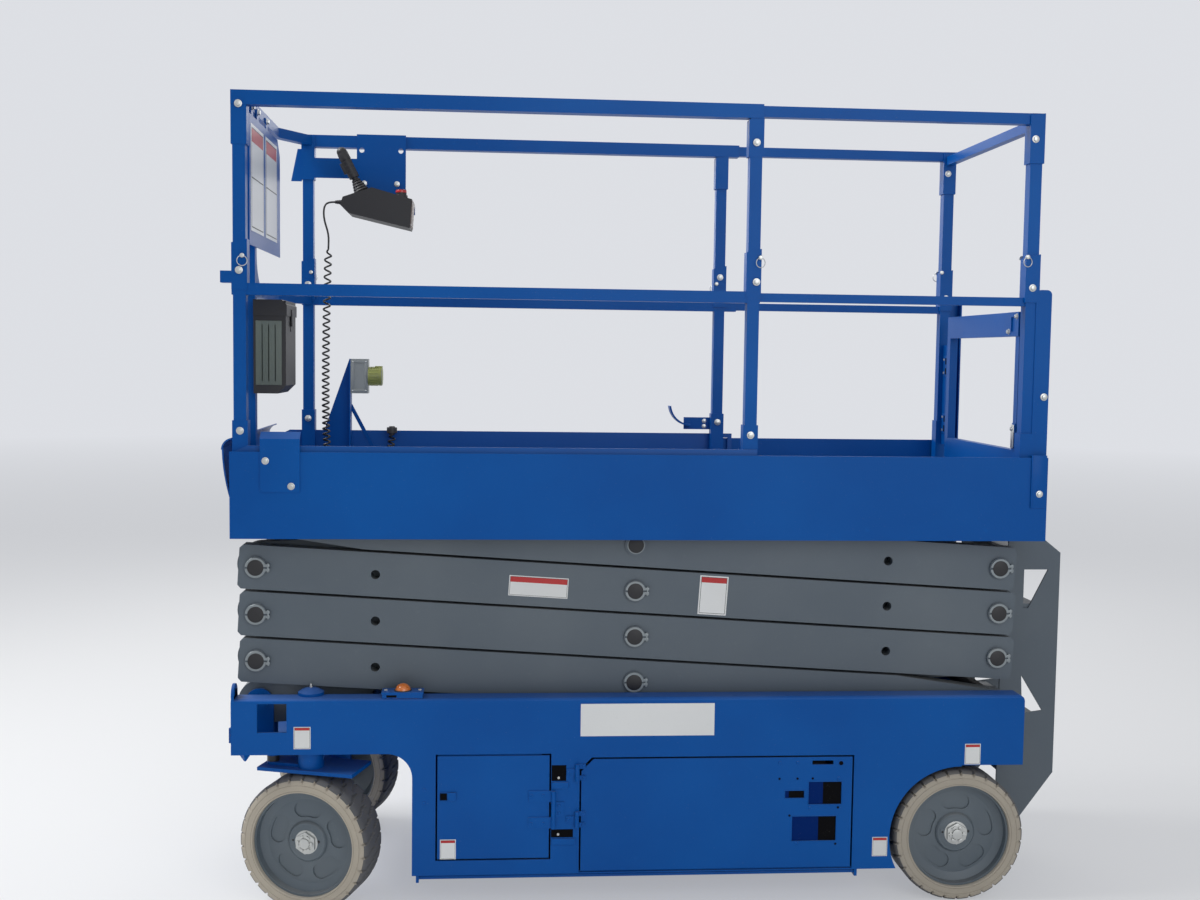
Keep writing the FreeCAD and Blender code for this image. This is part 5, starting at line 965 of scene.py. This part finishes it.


# %% [markdown]
# ## Rivets, latches and plates of the chassis
# The doors carry rivets and small holes, and their hinges are riveted on. A rivet is a low dome, so
# it is a disc whose rim is bevelled widely, and a hole is a thin disc of painted shade. Both sides of
# the machine have the same ones.

# %% Rivets on the doors
DOOR_FACE, LEAF_FACE = 0.405, 0.4083
door_rivets = {"tray": [(0.336, 0.412), (0.388, 0.412), (0.507, 0.3655), (0.4253, 0.2805),
                        (0.389, 0.1780)],
               "chassis": [(-0.667, 0.345), (-0.667, 0.308)]}
tray_holes = [(0.336, 0.366), (0.388, 0.366), (0.432, 0.366), (0.507, 0.281), (0.367, 0.259),
              (0.502, 0.175)]
leaf_rivets = {
    "chassis": [(-0.264, 0.257), (-0.264, 0.392), (-0.290, 0.276), (-0.290, 0.297)],
    "tray": [(-0.222, 0.240), (-0.222, 0.274), (-0.222, 0.375), (-0.222, 0.409)],
    "small_door": [(-0.368, 0.246), (-0.334, 0.246), (-0.368, 0.326), (-0.334, 0.326)],
}


def add_rivet(form, x, z, side, face, radius=0.0052):
    side_disc(form, side, face, x, z, radius, 0.0022, soft=0.0019, sides=14)


for side_name, side in SIDES:
    for part in ("tray", "small_door", "chassis"):
        rivets = bmesh.new()
        for x, z in door_rivets.get(part, ()):
            add_rivet(rivets, x, z, side, DOOR_FACE)
        for x, z in leaf_rivets[part]:
            add_rivet(rivets, x, z, side, LEAF_FACE, 0.0045)
        # each hole is a thin disc of painted shade
        for x, z in tray_holes if part == "tray" else ():
            side_disc(rivets, side, DOOR_FACE - 0.0010, x, z, 0.0034, 0.0013,
                      sides=14, slot_number=1)
        body = "chassis" if part == "chassis" else "%s_%s" % (part, side_name)
        finish_piece(rivets, "rivets_%s_%s" % (part, side_name), ("blue_paint", "painted_shade_black"), body)


# %% [markdown]
# The tray's door has three windows, through which the dark inside and a strip of blue steel are seen.
# In the steelwork a window is a shallow pressed recess, so a lining of painted shade lies on its
# floor: black where the view goes deep, and dark blue on the front side, for the tray's own wall in
# shade. A thin rolled rim stands round each window and catches the light.

# %% Windows of the tray doors
RECESS_FLOOR = 0.4021
# columns: front and rear end, low and high edge, and the share painted as the blue wall in shade
tray_windows = [(0.421, 0.516, 0.291, 0.356, 0.44), (0.375, 0.502, 0.185, 0.256, 0.60),
                (0.353, 0.408, 0.310, 0.331, 0.20)]


for side_name, side in SIDES:
    windows = bmesh.new()
    for x0, x1, z0, z1, shaded_wall_share in tray_windows:
        side_frame(windows, side, (DOOR_FACE - 0.0004, DOOR_FACE + 0.0009), (x0, z0), (x1, z1),
                   bar=0.0022, soft=0.0003)
        # the lining is painted shade: dark blue for the wall in shade, then black where the view goes
        # deep
        split = x0 + (x1 - x0) * shaded_wall_share
        for a, b, slot_number in ((x0, split, 1), (split, x1, 2)):
            side_block(windows, side, (RECESS_FLOOR, RECESS_FLOOR + 0.0004), (a, z0), (b, z1),
                       slot_number=slot_number)
    finish_piece(windows, "tray_windows_" + side_name, ("blue_paint", "shaded_blue", "painted_shade_black"),
                 "tray_" + side_name)


# %% [markdown]
# Beside each hinge of a tray, the side plate has a notch that the hinge arm comes out of, with a
# folded bracket under it. The notch is a thin dark sheet, and the bracket is a softened bar with the
# head of a small bolt. Behind the upper gap of each small door lies a flat stop, so that nobody
# looks through the gap into the chassis. Cut into the plate, a notch would show the bare inside of
# the chassis, where the real one shows only shade.

# %% Hinge notches and brackets
# columns: the notch's rear end, its low and high edge, and the bracket's low edge
notch_rows = ((-0.2708, 0.367, 0.412, 0.345), (-0.2500, 0.205, 0.228, 0.184))
for side_name, side in SIDES:
    notches = bmesh.new()
    for x1, z0, z1, bar_low in notch_rows:
        # the notch: a thin sheet of painted shade
        side_block(notches, side, (DOOR_FACE - 0.0004, DOOR_FACE + 0.0002), (-0.312, z0), (x1, z1),
                   slot_number=1)
        side_block(notches, side, (DOOR_FACE - 0.0004, DOOR_FACE + 0.0042), (-0.311, bar_low),
                   (x1 + 0.006, z0 - 0.003), soft=0.0014)
        side_disc(notches, side, DOOR_FACE, -0.292, z0 + 0.009, 0.0040, 0.0026,
                  soft=0.0008, sides=6, slot_number=2)
    side_block(notches, side, (0.3935, 0.3980), (-0.628, 0.4300), (-0.340, 0.4520), soft=0.0008)
    finish_piece(notches, "hinge_brackets_" + side_name, ("blue_paint", "painted_shade_black", "zinc"),
                 "chassis")


# %% [markdown]
# Each small door has a painted slide latch at its front edge: a finger hole, which is a block of
# painted shade, with a bent tab beside it. The tray door has a round lock hole near its rear edge, a
# disc of painted shade in a blue rim. Blocks and discs are enough for both, because their depth is
# lost in shade.

# %% Slide latches and lock holes
for side_name, side in SIDES:
    latch = bmesh.new()
    # the finger hole: a block of painted shade
    side_block(latch, side, (DOOR_FACE + 0.0010, DOOR_FACE + 0.0034), (-0.6225, 0.316),
               (-0.603, 0.336), slot_number=1)
    side_block(latch, side, (DOOR_FACE, DOOR_FACE + 0.0052), (-0.601, 0.314), (-0.578, 0.338),
               soft=0.0014)
    finish_piece(latch, "slide_latch_" + side_name, ("blue_paint", "painted_shade_black"),
                 "small_door_" + side_name)
    hole = bmesh.new()
    side_disc(hole, side, DOOR_FACE - 0.001, 0.513, 0.410, 0.0080, 0.0018,
              soft=0.0006, sides=24)
    # inside the rim: a disc of painted shade
    side_disc(hole, side, DOOR_FACE - 0.001, 0.513, 0.410, 0.0062, 0.0022,
              sides=20, slot_number=1)
    finish_piece(hole, "lock_hole_" + side_name, ("blue_paint", "painted_shade_black"), "tray_" + side_name)


# %% [markdown]
# ## Blank plates
# The real machine carries notices. Here they are bare: a white sheet with a thin dark frame and, on
# most, a red band along the top, with no words and no pictures. A sheet is a few thin blocks one on
# another, each a tenth of a millimetre higher, and it lies in the plane of what it is stuck to. One
# flat face with a picture on it would be lighter, but it would need the picture.

# %% Sheets with a frame and a band
SHEET = ("white_plate", "black_plastic", "red_band")


def add_sheet(form, width, height, band, place):
    """A blank notice; place is a matrix whose Z axis points away from the face."""
    layers = [(0.0, 0.0006, 0), (0.045, 0.0007, 1), (0.060, 0.0008, 0)]
    for inset, rise, slot_number in layers:
        edge = inset * min(width, height)
        add_block(form, (edge - width / 2, edge - height / 2, 0),
                  (width / 2 - edge, height / 2 - edge, rise), slot_number=slot_number, turn=place)
    if band:
        edge = 0.060 * min(width, height)
        top = height / 2 - edge
        add_block(form, (edge - width / 2, top - band, 0), (width / 2 - edge, top, 0.0009),
                  slot_number=2, turn=place)


def on_side(x, side, face, z, lean=0.0):
    """Where a sheet lies on a face that looks left (-1) or right (+1)."""
    stand = axes_at((-side, 0, 0), (0, 0, 1), (0, side, 0), (x, side * face, z))
    return stand @ Matrix.Rotation(lean * side, 4, "Z")


def on_rear_face(x, y, z):
    """Where a sheet lies on a face that looks to the rear."""
    return axes_at((0, 1, 0), (0, 0, 1), (1, 0, 0), (x, y, z))


ARM_LEAN = math.atan2(0.1315, 2.123)
for side_name, side in SIDES:
    sheets = bmesh.new()
    for x, z, height in ((-1.0015, 0.4955, 0.062), (0.896, 0.4325, 0.060)):
        add_sheet(sheets, 0.046, height, 0.007, on_side(x, side, DOOR_FACE, z))
    add_block(sheets, (-0.232, side * DOOR_FACE, 0.494),
              (0.146, side * (DOOR_FACE + 0.0007), 0.586), slot_number=0)
    finish_piece(sheets, "plates_chassis_" + side_name, SHEET, "chassis")
    for body, x, z in (("small_door_" + side_name, -0.600, 0.175), ("chassis", 0.6315, 0.165)):
        sheet = bmesh.new()
        add_sheet(sheet, 0.044, 0.056, 0.007, on_side(x, side, DOOR_FACE, z))
        finish_piece(sheet, "plate_low_%s_%s" % (body.split("_")[0], side_name), SHEET, body)
    sheets = bmesh.new()
    add_sheet(sheets, 0.168, 0.058, 0.015, on_side(-0.3515, side, 0.330, 0.9035, ARM_LEAN))
    add_sheet(sheets, 0.082, 0.112, 0.015, on_side(0.1475, side, 0.330, 0.8790, ARM_LEAN))
    finish_piece(sheets, "plates_arm_" + side_name, SHEET, "outer_3")


# %% [markdown]
# ## Steering pivots and the beacon
# On top of each steering pivot sits a grease nipple. The beacon is an orange lens on a black ring, and
# it looks out of a painted housing with a slot of painted shade in its outer side and a bolt at each
# end. The housing could be a bent sheet, but it is closed all round, so a block with a wider one as
# its top looks the same. Its width is taken from the beacon's own box, so that it always covers its
# foot.

# %% Grease nipples and the beacon's foot
nipples = bmesh.new()
for side in (-1, 1):
    add_disc(nipples, (-0.985, side * 0.345, 0.6225), (0, 0, 1), 0.0040, 0.004, sides=6)
    add_disc(nipples, (-0.985, side * 0.345, 0.6265), (0, 0, 1), 0.0024, 0.007, soft=0.0012,
             sides=12)
finish_piece(nipples, "grease_nipples", "zinc", "chassis")

lamp_foot = bmesh.new()
beacon_low, beacon_high = (Vector(corner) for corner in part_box("beacon"))
foot_y = (beacon_low.y + beacon_high.y) / 2
add_block(lamp_foot, (-0.784, beacon_low.y - 0.0006, 0.6032),
          (-0.672, beacon_high.y + 0.0006, 0.6160), soft=0.0010)
# the slot: a thin block of painted shade
add_block(lamp_foot, (-0.772, beacon_low.y - 0.0009, 0.6060),
          (-0.744, beacon_low.y - 0.0004, 0.6125), slot_number=3)
add_block(lamp_foot, (-0.786, beacon_low.y - 0.0014, 0.6150),
          (-0.670, beacon_high.y + 0.0014, 0.6206), soft=0.0014)
for x in (-0.775, -0.681):
    add_disc(lamp_foot, (x, foot_y, 0.6204), (0, 0, 1), 0.0050, 0.003, soft=0.0008, sides=6,
             slot_number=2)
add_disc(lamp_foot, (-0.728, foot_y, 0.6195), (0, 0, 1), 0.0248, 0.0035, soft=0.0012, sides=32,
         slot_number=1)
finish_piece(lamp_foot, "beacon_foot", ("blue_paint", "black_plastic", "zinc", "painted_shade_black"),
             "chassis")


# %% [markdown]
# At both front corners of the chassis an upright plate with a round head and an eye stands on the
# side channel, and a small pointed foot hangs below. The plate could be an extruded outline, but a
# block and a flat cylinder give its round head at once. The eye is a thin disc of painted shade on
# both faces.

# %% Front lugs and feet
front_lugs = bmesh.new()
for side in (-1, 1):
    side_block(front_lugs, side, (0.3440, 0.4040), (-1.1945, 0.5900), (-1.1865, 0.6130),
               soft=0.0012)
    add_disc(front_lugs, (-1.1945, side * 0.3740, 0.6120), (1, 0, 0), 0.0300, 0.0080, soft=0.0010,
             sides=40)
    # the eye: a thin disc of painted shade on each face
    for x, way in ((-1.1862, 1), (-1.1948, -1)):
        add_disc(front_lugs, (x, side * 0.3740, 0.6160), (way, 0, 0), 0.0130, 0.0006, sides=28,
                 slot_number=1)
    add_disc(front_lugs, (-1.1600, side * 0.3860, 0.4484), (0, 0, -1), 0.0180, 0.0220, top=0.0030,
             sides=4)
finish_piece(front_lugs, "front_lugs", ("blue_paint", "painted_shade_black"), "chassis")


# %% [markdown]
# The tie rod turns on a pin at the end of each steering lever. A cap with a nut closes the pin from
# above. The lever leans with the parked wheels, so the cap's place is worked out from that angle,
# rather than measured, and stays right if the wheels are parked otherwise.

# %% Caps of the tie rod
STEER_AXIS, LEVER, PARKED = Vector((-0.985, 0.345, 0)), 0.115, math.radians(-17)
for side_name, side in SIDES:
    pin_x = STEER_AXIS.x - LEVER * math.cos(PARKED)
    pin_y = side * STEER_AXIS.y - LEVER * math.sin(PARKED)
    cap = bmesh.new()
    add_disc(cap, (pin_x, pin_y, 0.4228), (0, 0, 1), 0.0180, 0.0100, soft=0.0020, sides=32)
    add_disc(cap, (pin_x, pin_y, 0.4320), (0, 0, 1), 0.0110, 0.0080, soft=0.0010, sides=6,
             slot_number=1)
    finish_piece(cap, "tie_rod_cap_" + side_name, ("blue_paint", "zinc"), "steer_" + side_name)
print("tie rod pins at X", round(pin_x, 4))


# %% [markdown]
# ## The hand control
# The control is a black wedge-shaped box with a joystick that leans forward. Its rubber boot has
# folds, its grip has finger ridges and a trigger, and on top sits a red stop button. The rear end is
# closed by a brownish cover with four screws. The stick's line goes from the box to the knob, so a
# small helper gives a place along it.

# %% Joystick, stop button and rear cover
stick_low, stick_high = Vector((-0.905, 0.250, 2.066)), Vector((-0.966, 0.250, 2.187))
stick_way = (stick_high - stick_low).normalized()


def along_stick(share):
    return stick_low.lerp(stick_high, share)


stick = bmesh.new()
for share, reach in ((0.02, 0.0245), (0.08, 0.0220), (0.14, 0.0195), (0.20, 0.0170),
                     (0.26, 0.0145)):
    add_disc(stick, along_stick(share), stick_way, reach, 0.0060, top=reach * 0.86, soft=0.0016,
             sides=28)
for share in (0.40, 0.50, 0.60, 0.70):
    add_disc(stick, along_stick(share), stick_way, 0.0160, 0.0090, top=0.0172, soft=0.0022,
             sides=28)
add_disc(stick, along_stick(0.80), stick_way, 0.0172, 0.030, top=0.0166, soft=0.0070, sides=28)
trigger = Matrix.Translation(along_stick(0.62)) @ towards(stick_way)
add_block(stick, (-0.006, -0.005, -0.018), (0.006, 0.005, 0.018), soft=0.002,
          turn=Matrix.Translation(Vector((-0.0178, 0, -0.006))) @ trigger)
finish_piece(stick, "joystick", "black_plastic", "extension")

button = bmesh.new()
button_foot = Vector((-0.780, 0.250, 2.050))
add_disc(button, button_foot, (0, 0, 1), 0.0205, 0.007, soft=0.0015, sides=32, slot_number=1)
add_disc(button, button_foot + Vector((0, 0, 0.007)), (0, 0, 1), 0.0120, 0.010, sides=24,
         slot_number=1)
add_disc(button, button_foot + Vector((0, 0, 0.0145)), (0, 0, 1), 0.0178, 0.0100, soft=0.0042,
         sides=32)
finish_piece(button, "stop_button", ("red_button", "black_plastic"), "extension")

cover = bmesh.new()
box_lean = math.radians(4.4)
cover_turn = Matrix.Translation((-0.7470, 0.281, 1.9965)) @ Matrix.Rotation(box_lean, 4, "Y")
add_block(cover, (-0.0012, -0.060, -0.0415), (0.0016, 0.060, 0.0415), soft=0.0010, turn=cover_turn)
for y in (-0.052, 0.052):
    for z in (-0.034, 0.034):
        add_disc(cover, cover_turn @ Vector((0.0014, y, z)), (1, 0, 0), 0.0034, 0.0014, soft=0.0004,
                 sides=12, slot_number=1)
finish_piece(cover, "control_rear_cover", ("brown_cover", "zinc"), "extension")

hanger_bolts = bmesh.new()
for x in (-0.905, -0.800):
    add_bolt(hanger_bolts, (x, 0.3448, 2.1030), (0, -1, 0), washer=0.009)
finish_piece(hanger_bolts, "hanger_bolts", "zinc", "extension")


# %% [markdown]
# ## Sign sheets, document box and outlet
# Two blank notices are stuck on the hanging plate, and its tabs are bolted to the rail. The notices
# are the same sheets as on the chassis, turned to face the person on the platform.

# %% Sheets on the hanging plate
notices = bmesh.new()
for y in (-0.205, 0.035):
    add_sheet(notices, 0.205, 0.292, 0.036, on_rear_face(-1.1507, y, 2.036))
    add_block(notices, (-1.1503, y - 0.094, 2.0345), (-1.1496, y + 0.094, 2.0375), slot_number=1)
finish_piece(notices, "notices", SHEET, "extension")
tab_bolts = bmesh.new()
for y in (-0.283, -0.193, -0.043):
    add_bolt(tab_bolts, (-1.1507, y, 2.228), (1, 0, 0), washer=0.0095)
finish_piece(tab_bolts, "tab_bolts", "zinc", "extension")


# %% [markdown]
# The document box has a sunk panel of grey-green plastic in each side, with three upright ribs, and a
# clasp on its lid. They could be cut into the box, but the box is steelwork that stays as it is, so
# thin blocks are laid on its faces.

# %% The document box's panels, ribs and clasp
papers = bmesh.new()
box_high = Vector(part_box("document_box")[1])
for side, y in ((-1, -0.259), (1, -0.073)):
    a, b = sorted((y - side * 0.001, y + side * 0.0018))
    add_block(papers, (-1.1480, a, 1.4640), (-1.0760, b, 1.6440), soft=0.0012, slot_number=1)
    for x in (-1.130, -1.112, -1.094):
        add_block(papers, (x - 0.002, a, 1.474), (x + 0.002, b + 0.0006 if side > 0 else b, 1.634),
                  soft=0.0008, slot_number=1)
add_block(papers, (box_high.x - 0.0010, -0.182, 1.6300), (box_high.x + 0.0030, -0.150, 1.6780),
          soft=0.0015)
add_block(papers, (box_high.x - 0.0050, -0.176, 1.6150), (box_high.x - 0.0010, -0.156, 1.6400),
          soft=0.0015)
finish_piece(papers, "document_box_trim", ("black_plastic", "box_panel"), "extension")


# %% [markdown]
# The outlet is a weatherproof box with a raised frame held by screws, and beside it a round socket
# under a sprung lid. The socket is a stack of discs, and its grip is one small block, turned eighteen
# times about the socket's middle.

# %% The outlet's frame, socket and lid
outlet = bmesh.new()
side_frame(outlet, 1, (0.3360, 0.3385), (-0.9370, 1.4380), (-0.9030, 1.5240), bar=0.0080,
           soft=0.0008)
for x in (-0.941, -0.899):
    for z in (1.434, 1.528):
        add_disc(outlet, (x, 0.3362, z), (0, -1, 0), 0.0026, 0.0012, soft=0.0004, sides=12,
                 slot_number=1)
finish_piece(outlet, "outlet_frame", ("outlet_grey", "zinc"), "extension")
socket = bmesh.new()
socket_y, socket_z = 0.3577, 1.481
socket_middle = Matrix.Translation((0, socket_y, socket_z))
add_disc(socket, (-0.8915, socket_y, socket_z), (1, 0, 0), 0.0308, 0.006, soft=0.0015, sides=36)
add_disc(socket, (-0.8860, socket_y, socket_z), (1, 0, 0), 0.0304, 0.030, sides=36)
for k in range(18):
    turned = socket_middle @ Matrix.Rotation(math.radians(20 * k), 4, "X")
    add_block(socket, (-0.8860, 0.0290, -0.0022), (-0.8600, 0.0312, 0.0022), soft=0.0007,
              turn=turned)
add_disc(socket, (-0.8560, socket_y, socket_z), (1, 0, 0), 0.0308, 0.0100, soft=0.003, sides=36)
add_block(socket, (-0.8700, socket_y - 0.010, socket_z + 0.0290),
          (-0.8460, socket_y + 0.010, socket_z + 0.0335), soft=0.0012)
finish_piece(socket, "outlet_socket", "olive_socket", "extension")


# %% [markdown]
# ## The entry gate's latch
# The gate is held by a latch at its free end: a bare metal grip on the stile, and two bolts in the
# plate above it. The pedal that lets the extension slide is steelwork, and two bolts hold its plate
# to the rail. All of these are blocks, discs and bolts again, each where its plate is.

# %% Gate grip, latch bolts and pedal bolts
latch = bmesh.new()
add_block(latch, (1.0085, -0.3350, 1.3080), (1.0140, -0.3170, 1.3760), soft=0.0022)
add_disc(latch, (1.0085, -0.3260, 1.3640), (-1, 0, 0), 0.0060, 0.0040, soft=0.0012, sides=18)
add_bolt(latch, (1.0135, -0.3270, 1.6870), (-1, 0, 0), washer=0.0085, head=0.0062)
add_bolt(latch, (1.0135, -0.2680, 1.6440), (-1, 0, 0), washer=0.0085, head=0.0062)
finish_piece(latch, "gate_latch", "zinc", "gate")

pedal = bmesh.new()
for x, z in ((0.222, 1.344), (0.222, 1.326)):
    add_bolt(pedal, (x, 0.3797, z), (0, -1, 0), washer=0.0075, head=0.0055)
finish_piece(pedal, "pedal_bolts", "zinc", "extension")


# %% [markdown]
# The channel at each rear corner runs down over the outside of the skirt and is bolted to it: two
# blocks make its face and its turned edge. The gate's hinges are screwed to the post's plate: each has
# a folded leaf, which faces the person on the platform, with two slots of painted shade.

# %% Feet of the corner channels, and the hinge leaves
for side_name, side in SIDES:
    foot = bmesh.new()
    side_block(foot, side, (0.4048, 0.4078), (1.0390, 1.1425), (1.0840, 1.2930), soft=0.0012)
    side_block(foot, side, (0.4048, 0.4100), (1.0390, 1.1425), (1.0420, 1.2930), soft=0.0010)
    add_bolt(foot, (1.0640, side * 0.4078, 1.1830), (0, side, 0), washer=0.0100, head=0.0075,
             slot_number=1)
    finish_piece(foot, "corner_channel_foot_" + side_name, ("blue_paint", "zinc"), "platform")
leaves = bmesh.new()
for z in (1.346, 1.538):
    add_block(leaves, (1.0258, 0.3035, z - 0.034), (1.0279, 0.3440, z + 0.034), soft=0.0009)
    # the slots: thin blocks of painted shade
    for low_z in (z - 0.027, z + 0.006):
        add_block(leaves, (1.0254, 0.3130, low_z), (1.0262, 0.3240, low_z + 0.021), slot_number=1)
    for low_z in (z - 0.022, z + 0.022):
        add_disc(leaves, (1.0260, 0.3360, low_z), (-1, 0, 0), 0.0046, 0.0026, soft=0.0010, sides=6,
                 slot_number=2)
finish_piece(leaves, "gate_hinge_leaves", ("blue_paint", "painted_shade_black", "zinc"), "platform")

# %% [markdown]
# ## The stage
# A plain pale floor, with soft light from a large lamp above the steering end, a weaker one from
# the camera's side and one from behind. The world gives the rest, so that no side of the machine is
# black. The floor and the world look paler to the camera, and in gloss and glass, than they light
# the machine: more light would bleach the paint, so a Light Path node mixes in a pale glow there.
# The glow grows with distance, so that the floor has no edge and keeps its shadow near the machine.

# %% Floor, lamps and world
def seen_rays(tree):
    """One for rays from the camera, off gloss or through glass, and nought for the others."""
    rays = tree.nodes.new("ShaderNodeLightPath").outputs
    gloss = math_node(tree, "MAXIMUM", rays["Is Glossy Ray"], rays["Is Transmission Ray"])
    return math_node(tree, "MAXIMUM", rays["Is Camera Ray"], gloss)


SKY, SEEN_STRENGTH, LIT_STRENGTH = (0.93, 0.95, 1.0, 1), 0.78, 0.36
GLOW_NEAR, GLOW_FAR = 4.0, 22.0      # the glow grows between these distances from the machine


def stage_plane(name, size, place, tint=colour(246, 246, 244)):
    mesh = bpy.data.meshes.new(name)
    form = bmesh.new()
    bmesh.ops.create_grid(form, x_segments=1, y_segments=1, size=size / 2)
    form.to_mesh(mesh)
    form.free()
    plane = bpy.data.objects.new(name, mesh)
    plane.location = place
    material, tree, shader = new_material(name + "_matt", specular=0.2)
    shader.inputs["Base Color"].default_value = tint
    shader.inputs["Roughness"].default_value = 0.9
    glow = node(tree, "ShaderNodeEmission", Strength=SEEN_STRENGTH)
    glow.inputs["Color"].default_value = SKY
    away = tree.nodes.new("ShaderNodeVectorMath")
    away.operation = "LENGTH"
    tree.links.new(node(tree, "ShaderNodeTexCoord").outputs["Object"], away.inputs[0])
    further = ramp(tree, away.outputs["Value"], GLOW_NEAR, GLOW_FAR)
    share = plus(tree, times(tree, further, 0.5), 0.5)
    mix = tree.nodes.new("ShaderNodeMixShader")
    tree.links.new(times(tree, seen_rays(tree), share), mix.inputs[0])
    tree.links.new(shader.outputs[0], mix.inputs[1])
    tree.links.new(glow.outputs[0], mix.inputs[2])
    tree.links.new(mix.outputs[0], tree.nodes["Material Output"].inputs["Surface"])
    mesh.materials.append(material)
    bpy.context.scene.collection.objects.link(plane)


def lamp(name, place, aim, size, power):
    data = bpy.data.lights.new(name, "AREA")
    data.size = size
    data.energy = power
    made = bpy.data.objects.new(name, data)
    made.location = place
    made.rotation_euler = (Vector(aim) - Vector(place)).to_track_quat("-Z", "Y").to_euler()
    bpy.context.scene.collection.objects.link(made)


stage_plane("floor", 60.0, (0, 0, 0))
lamp("key_lamp", (-3.9, 0.2, 5.0), (0, 0, 1.0), 2.6, 250)
lamp("side_lamp", (1.6, -5.6, 3.2), (0, 0, 1.1), 4.0, 96)
lamp("back_lamp", (0.5, 5.0, 4.0), (0, 0, 1.2), 4.0, 75)

world = bpy.data.worlds.new("studio")
bpy.context.scene.world = world
world.use_nodes = True
sky = world.node_tree.nodes["Background"]
sky.inputs["Color"].default_value = SKY
shine = times(world.node_tree, seen_rays(world.node_tree), SEEN_STRENGTH - LIT_STRENGTH)
world.node_tree.links.new(plus(world.node_tree, shine, LIT_STRENGTH), sky.inputs["Strength"])
bpy.context.scene.view_settings.view_transform = "Standard"
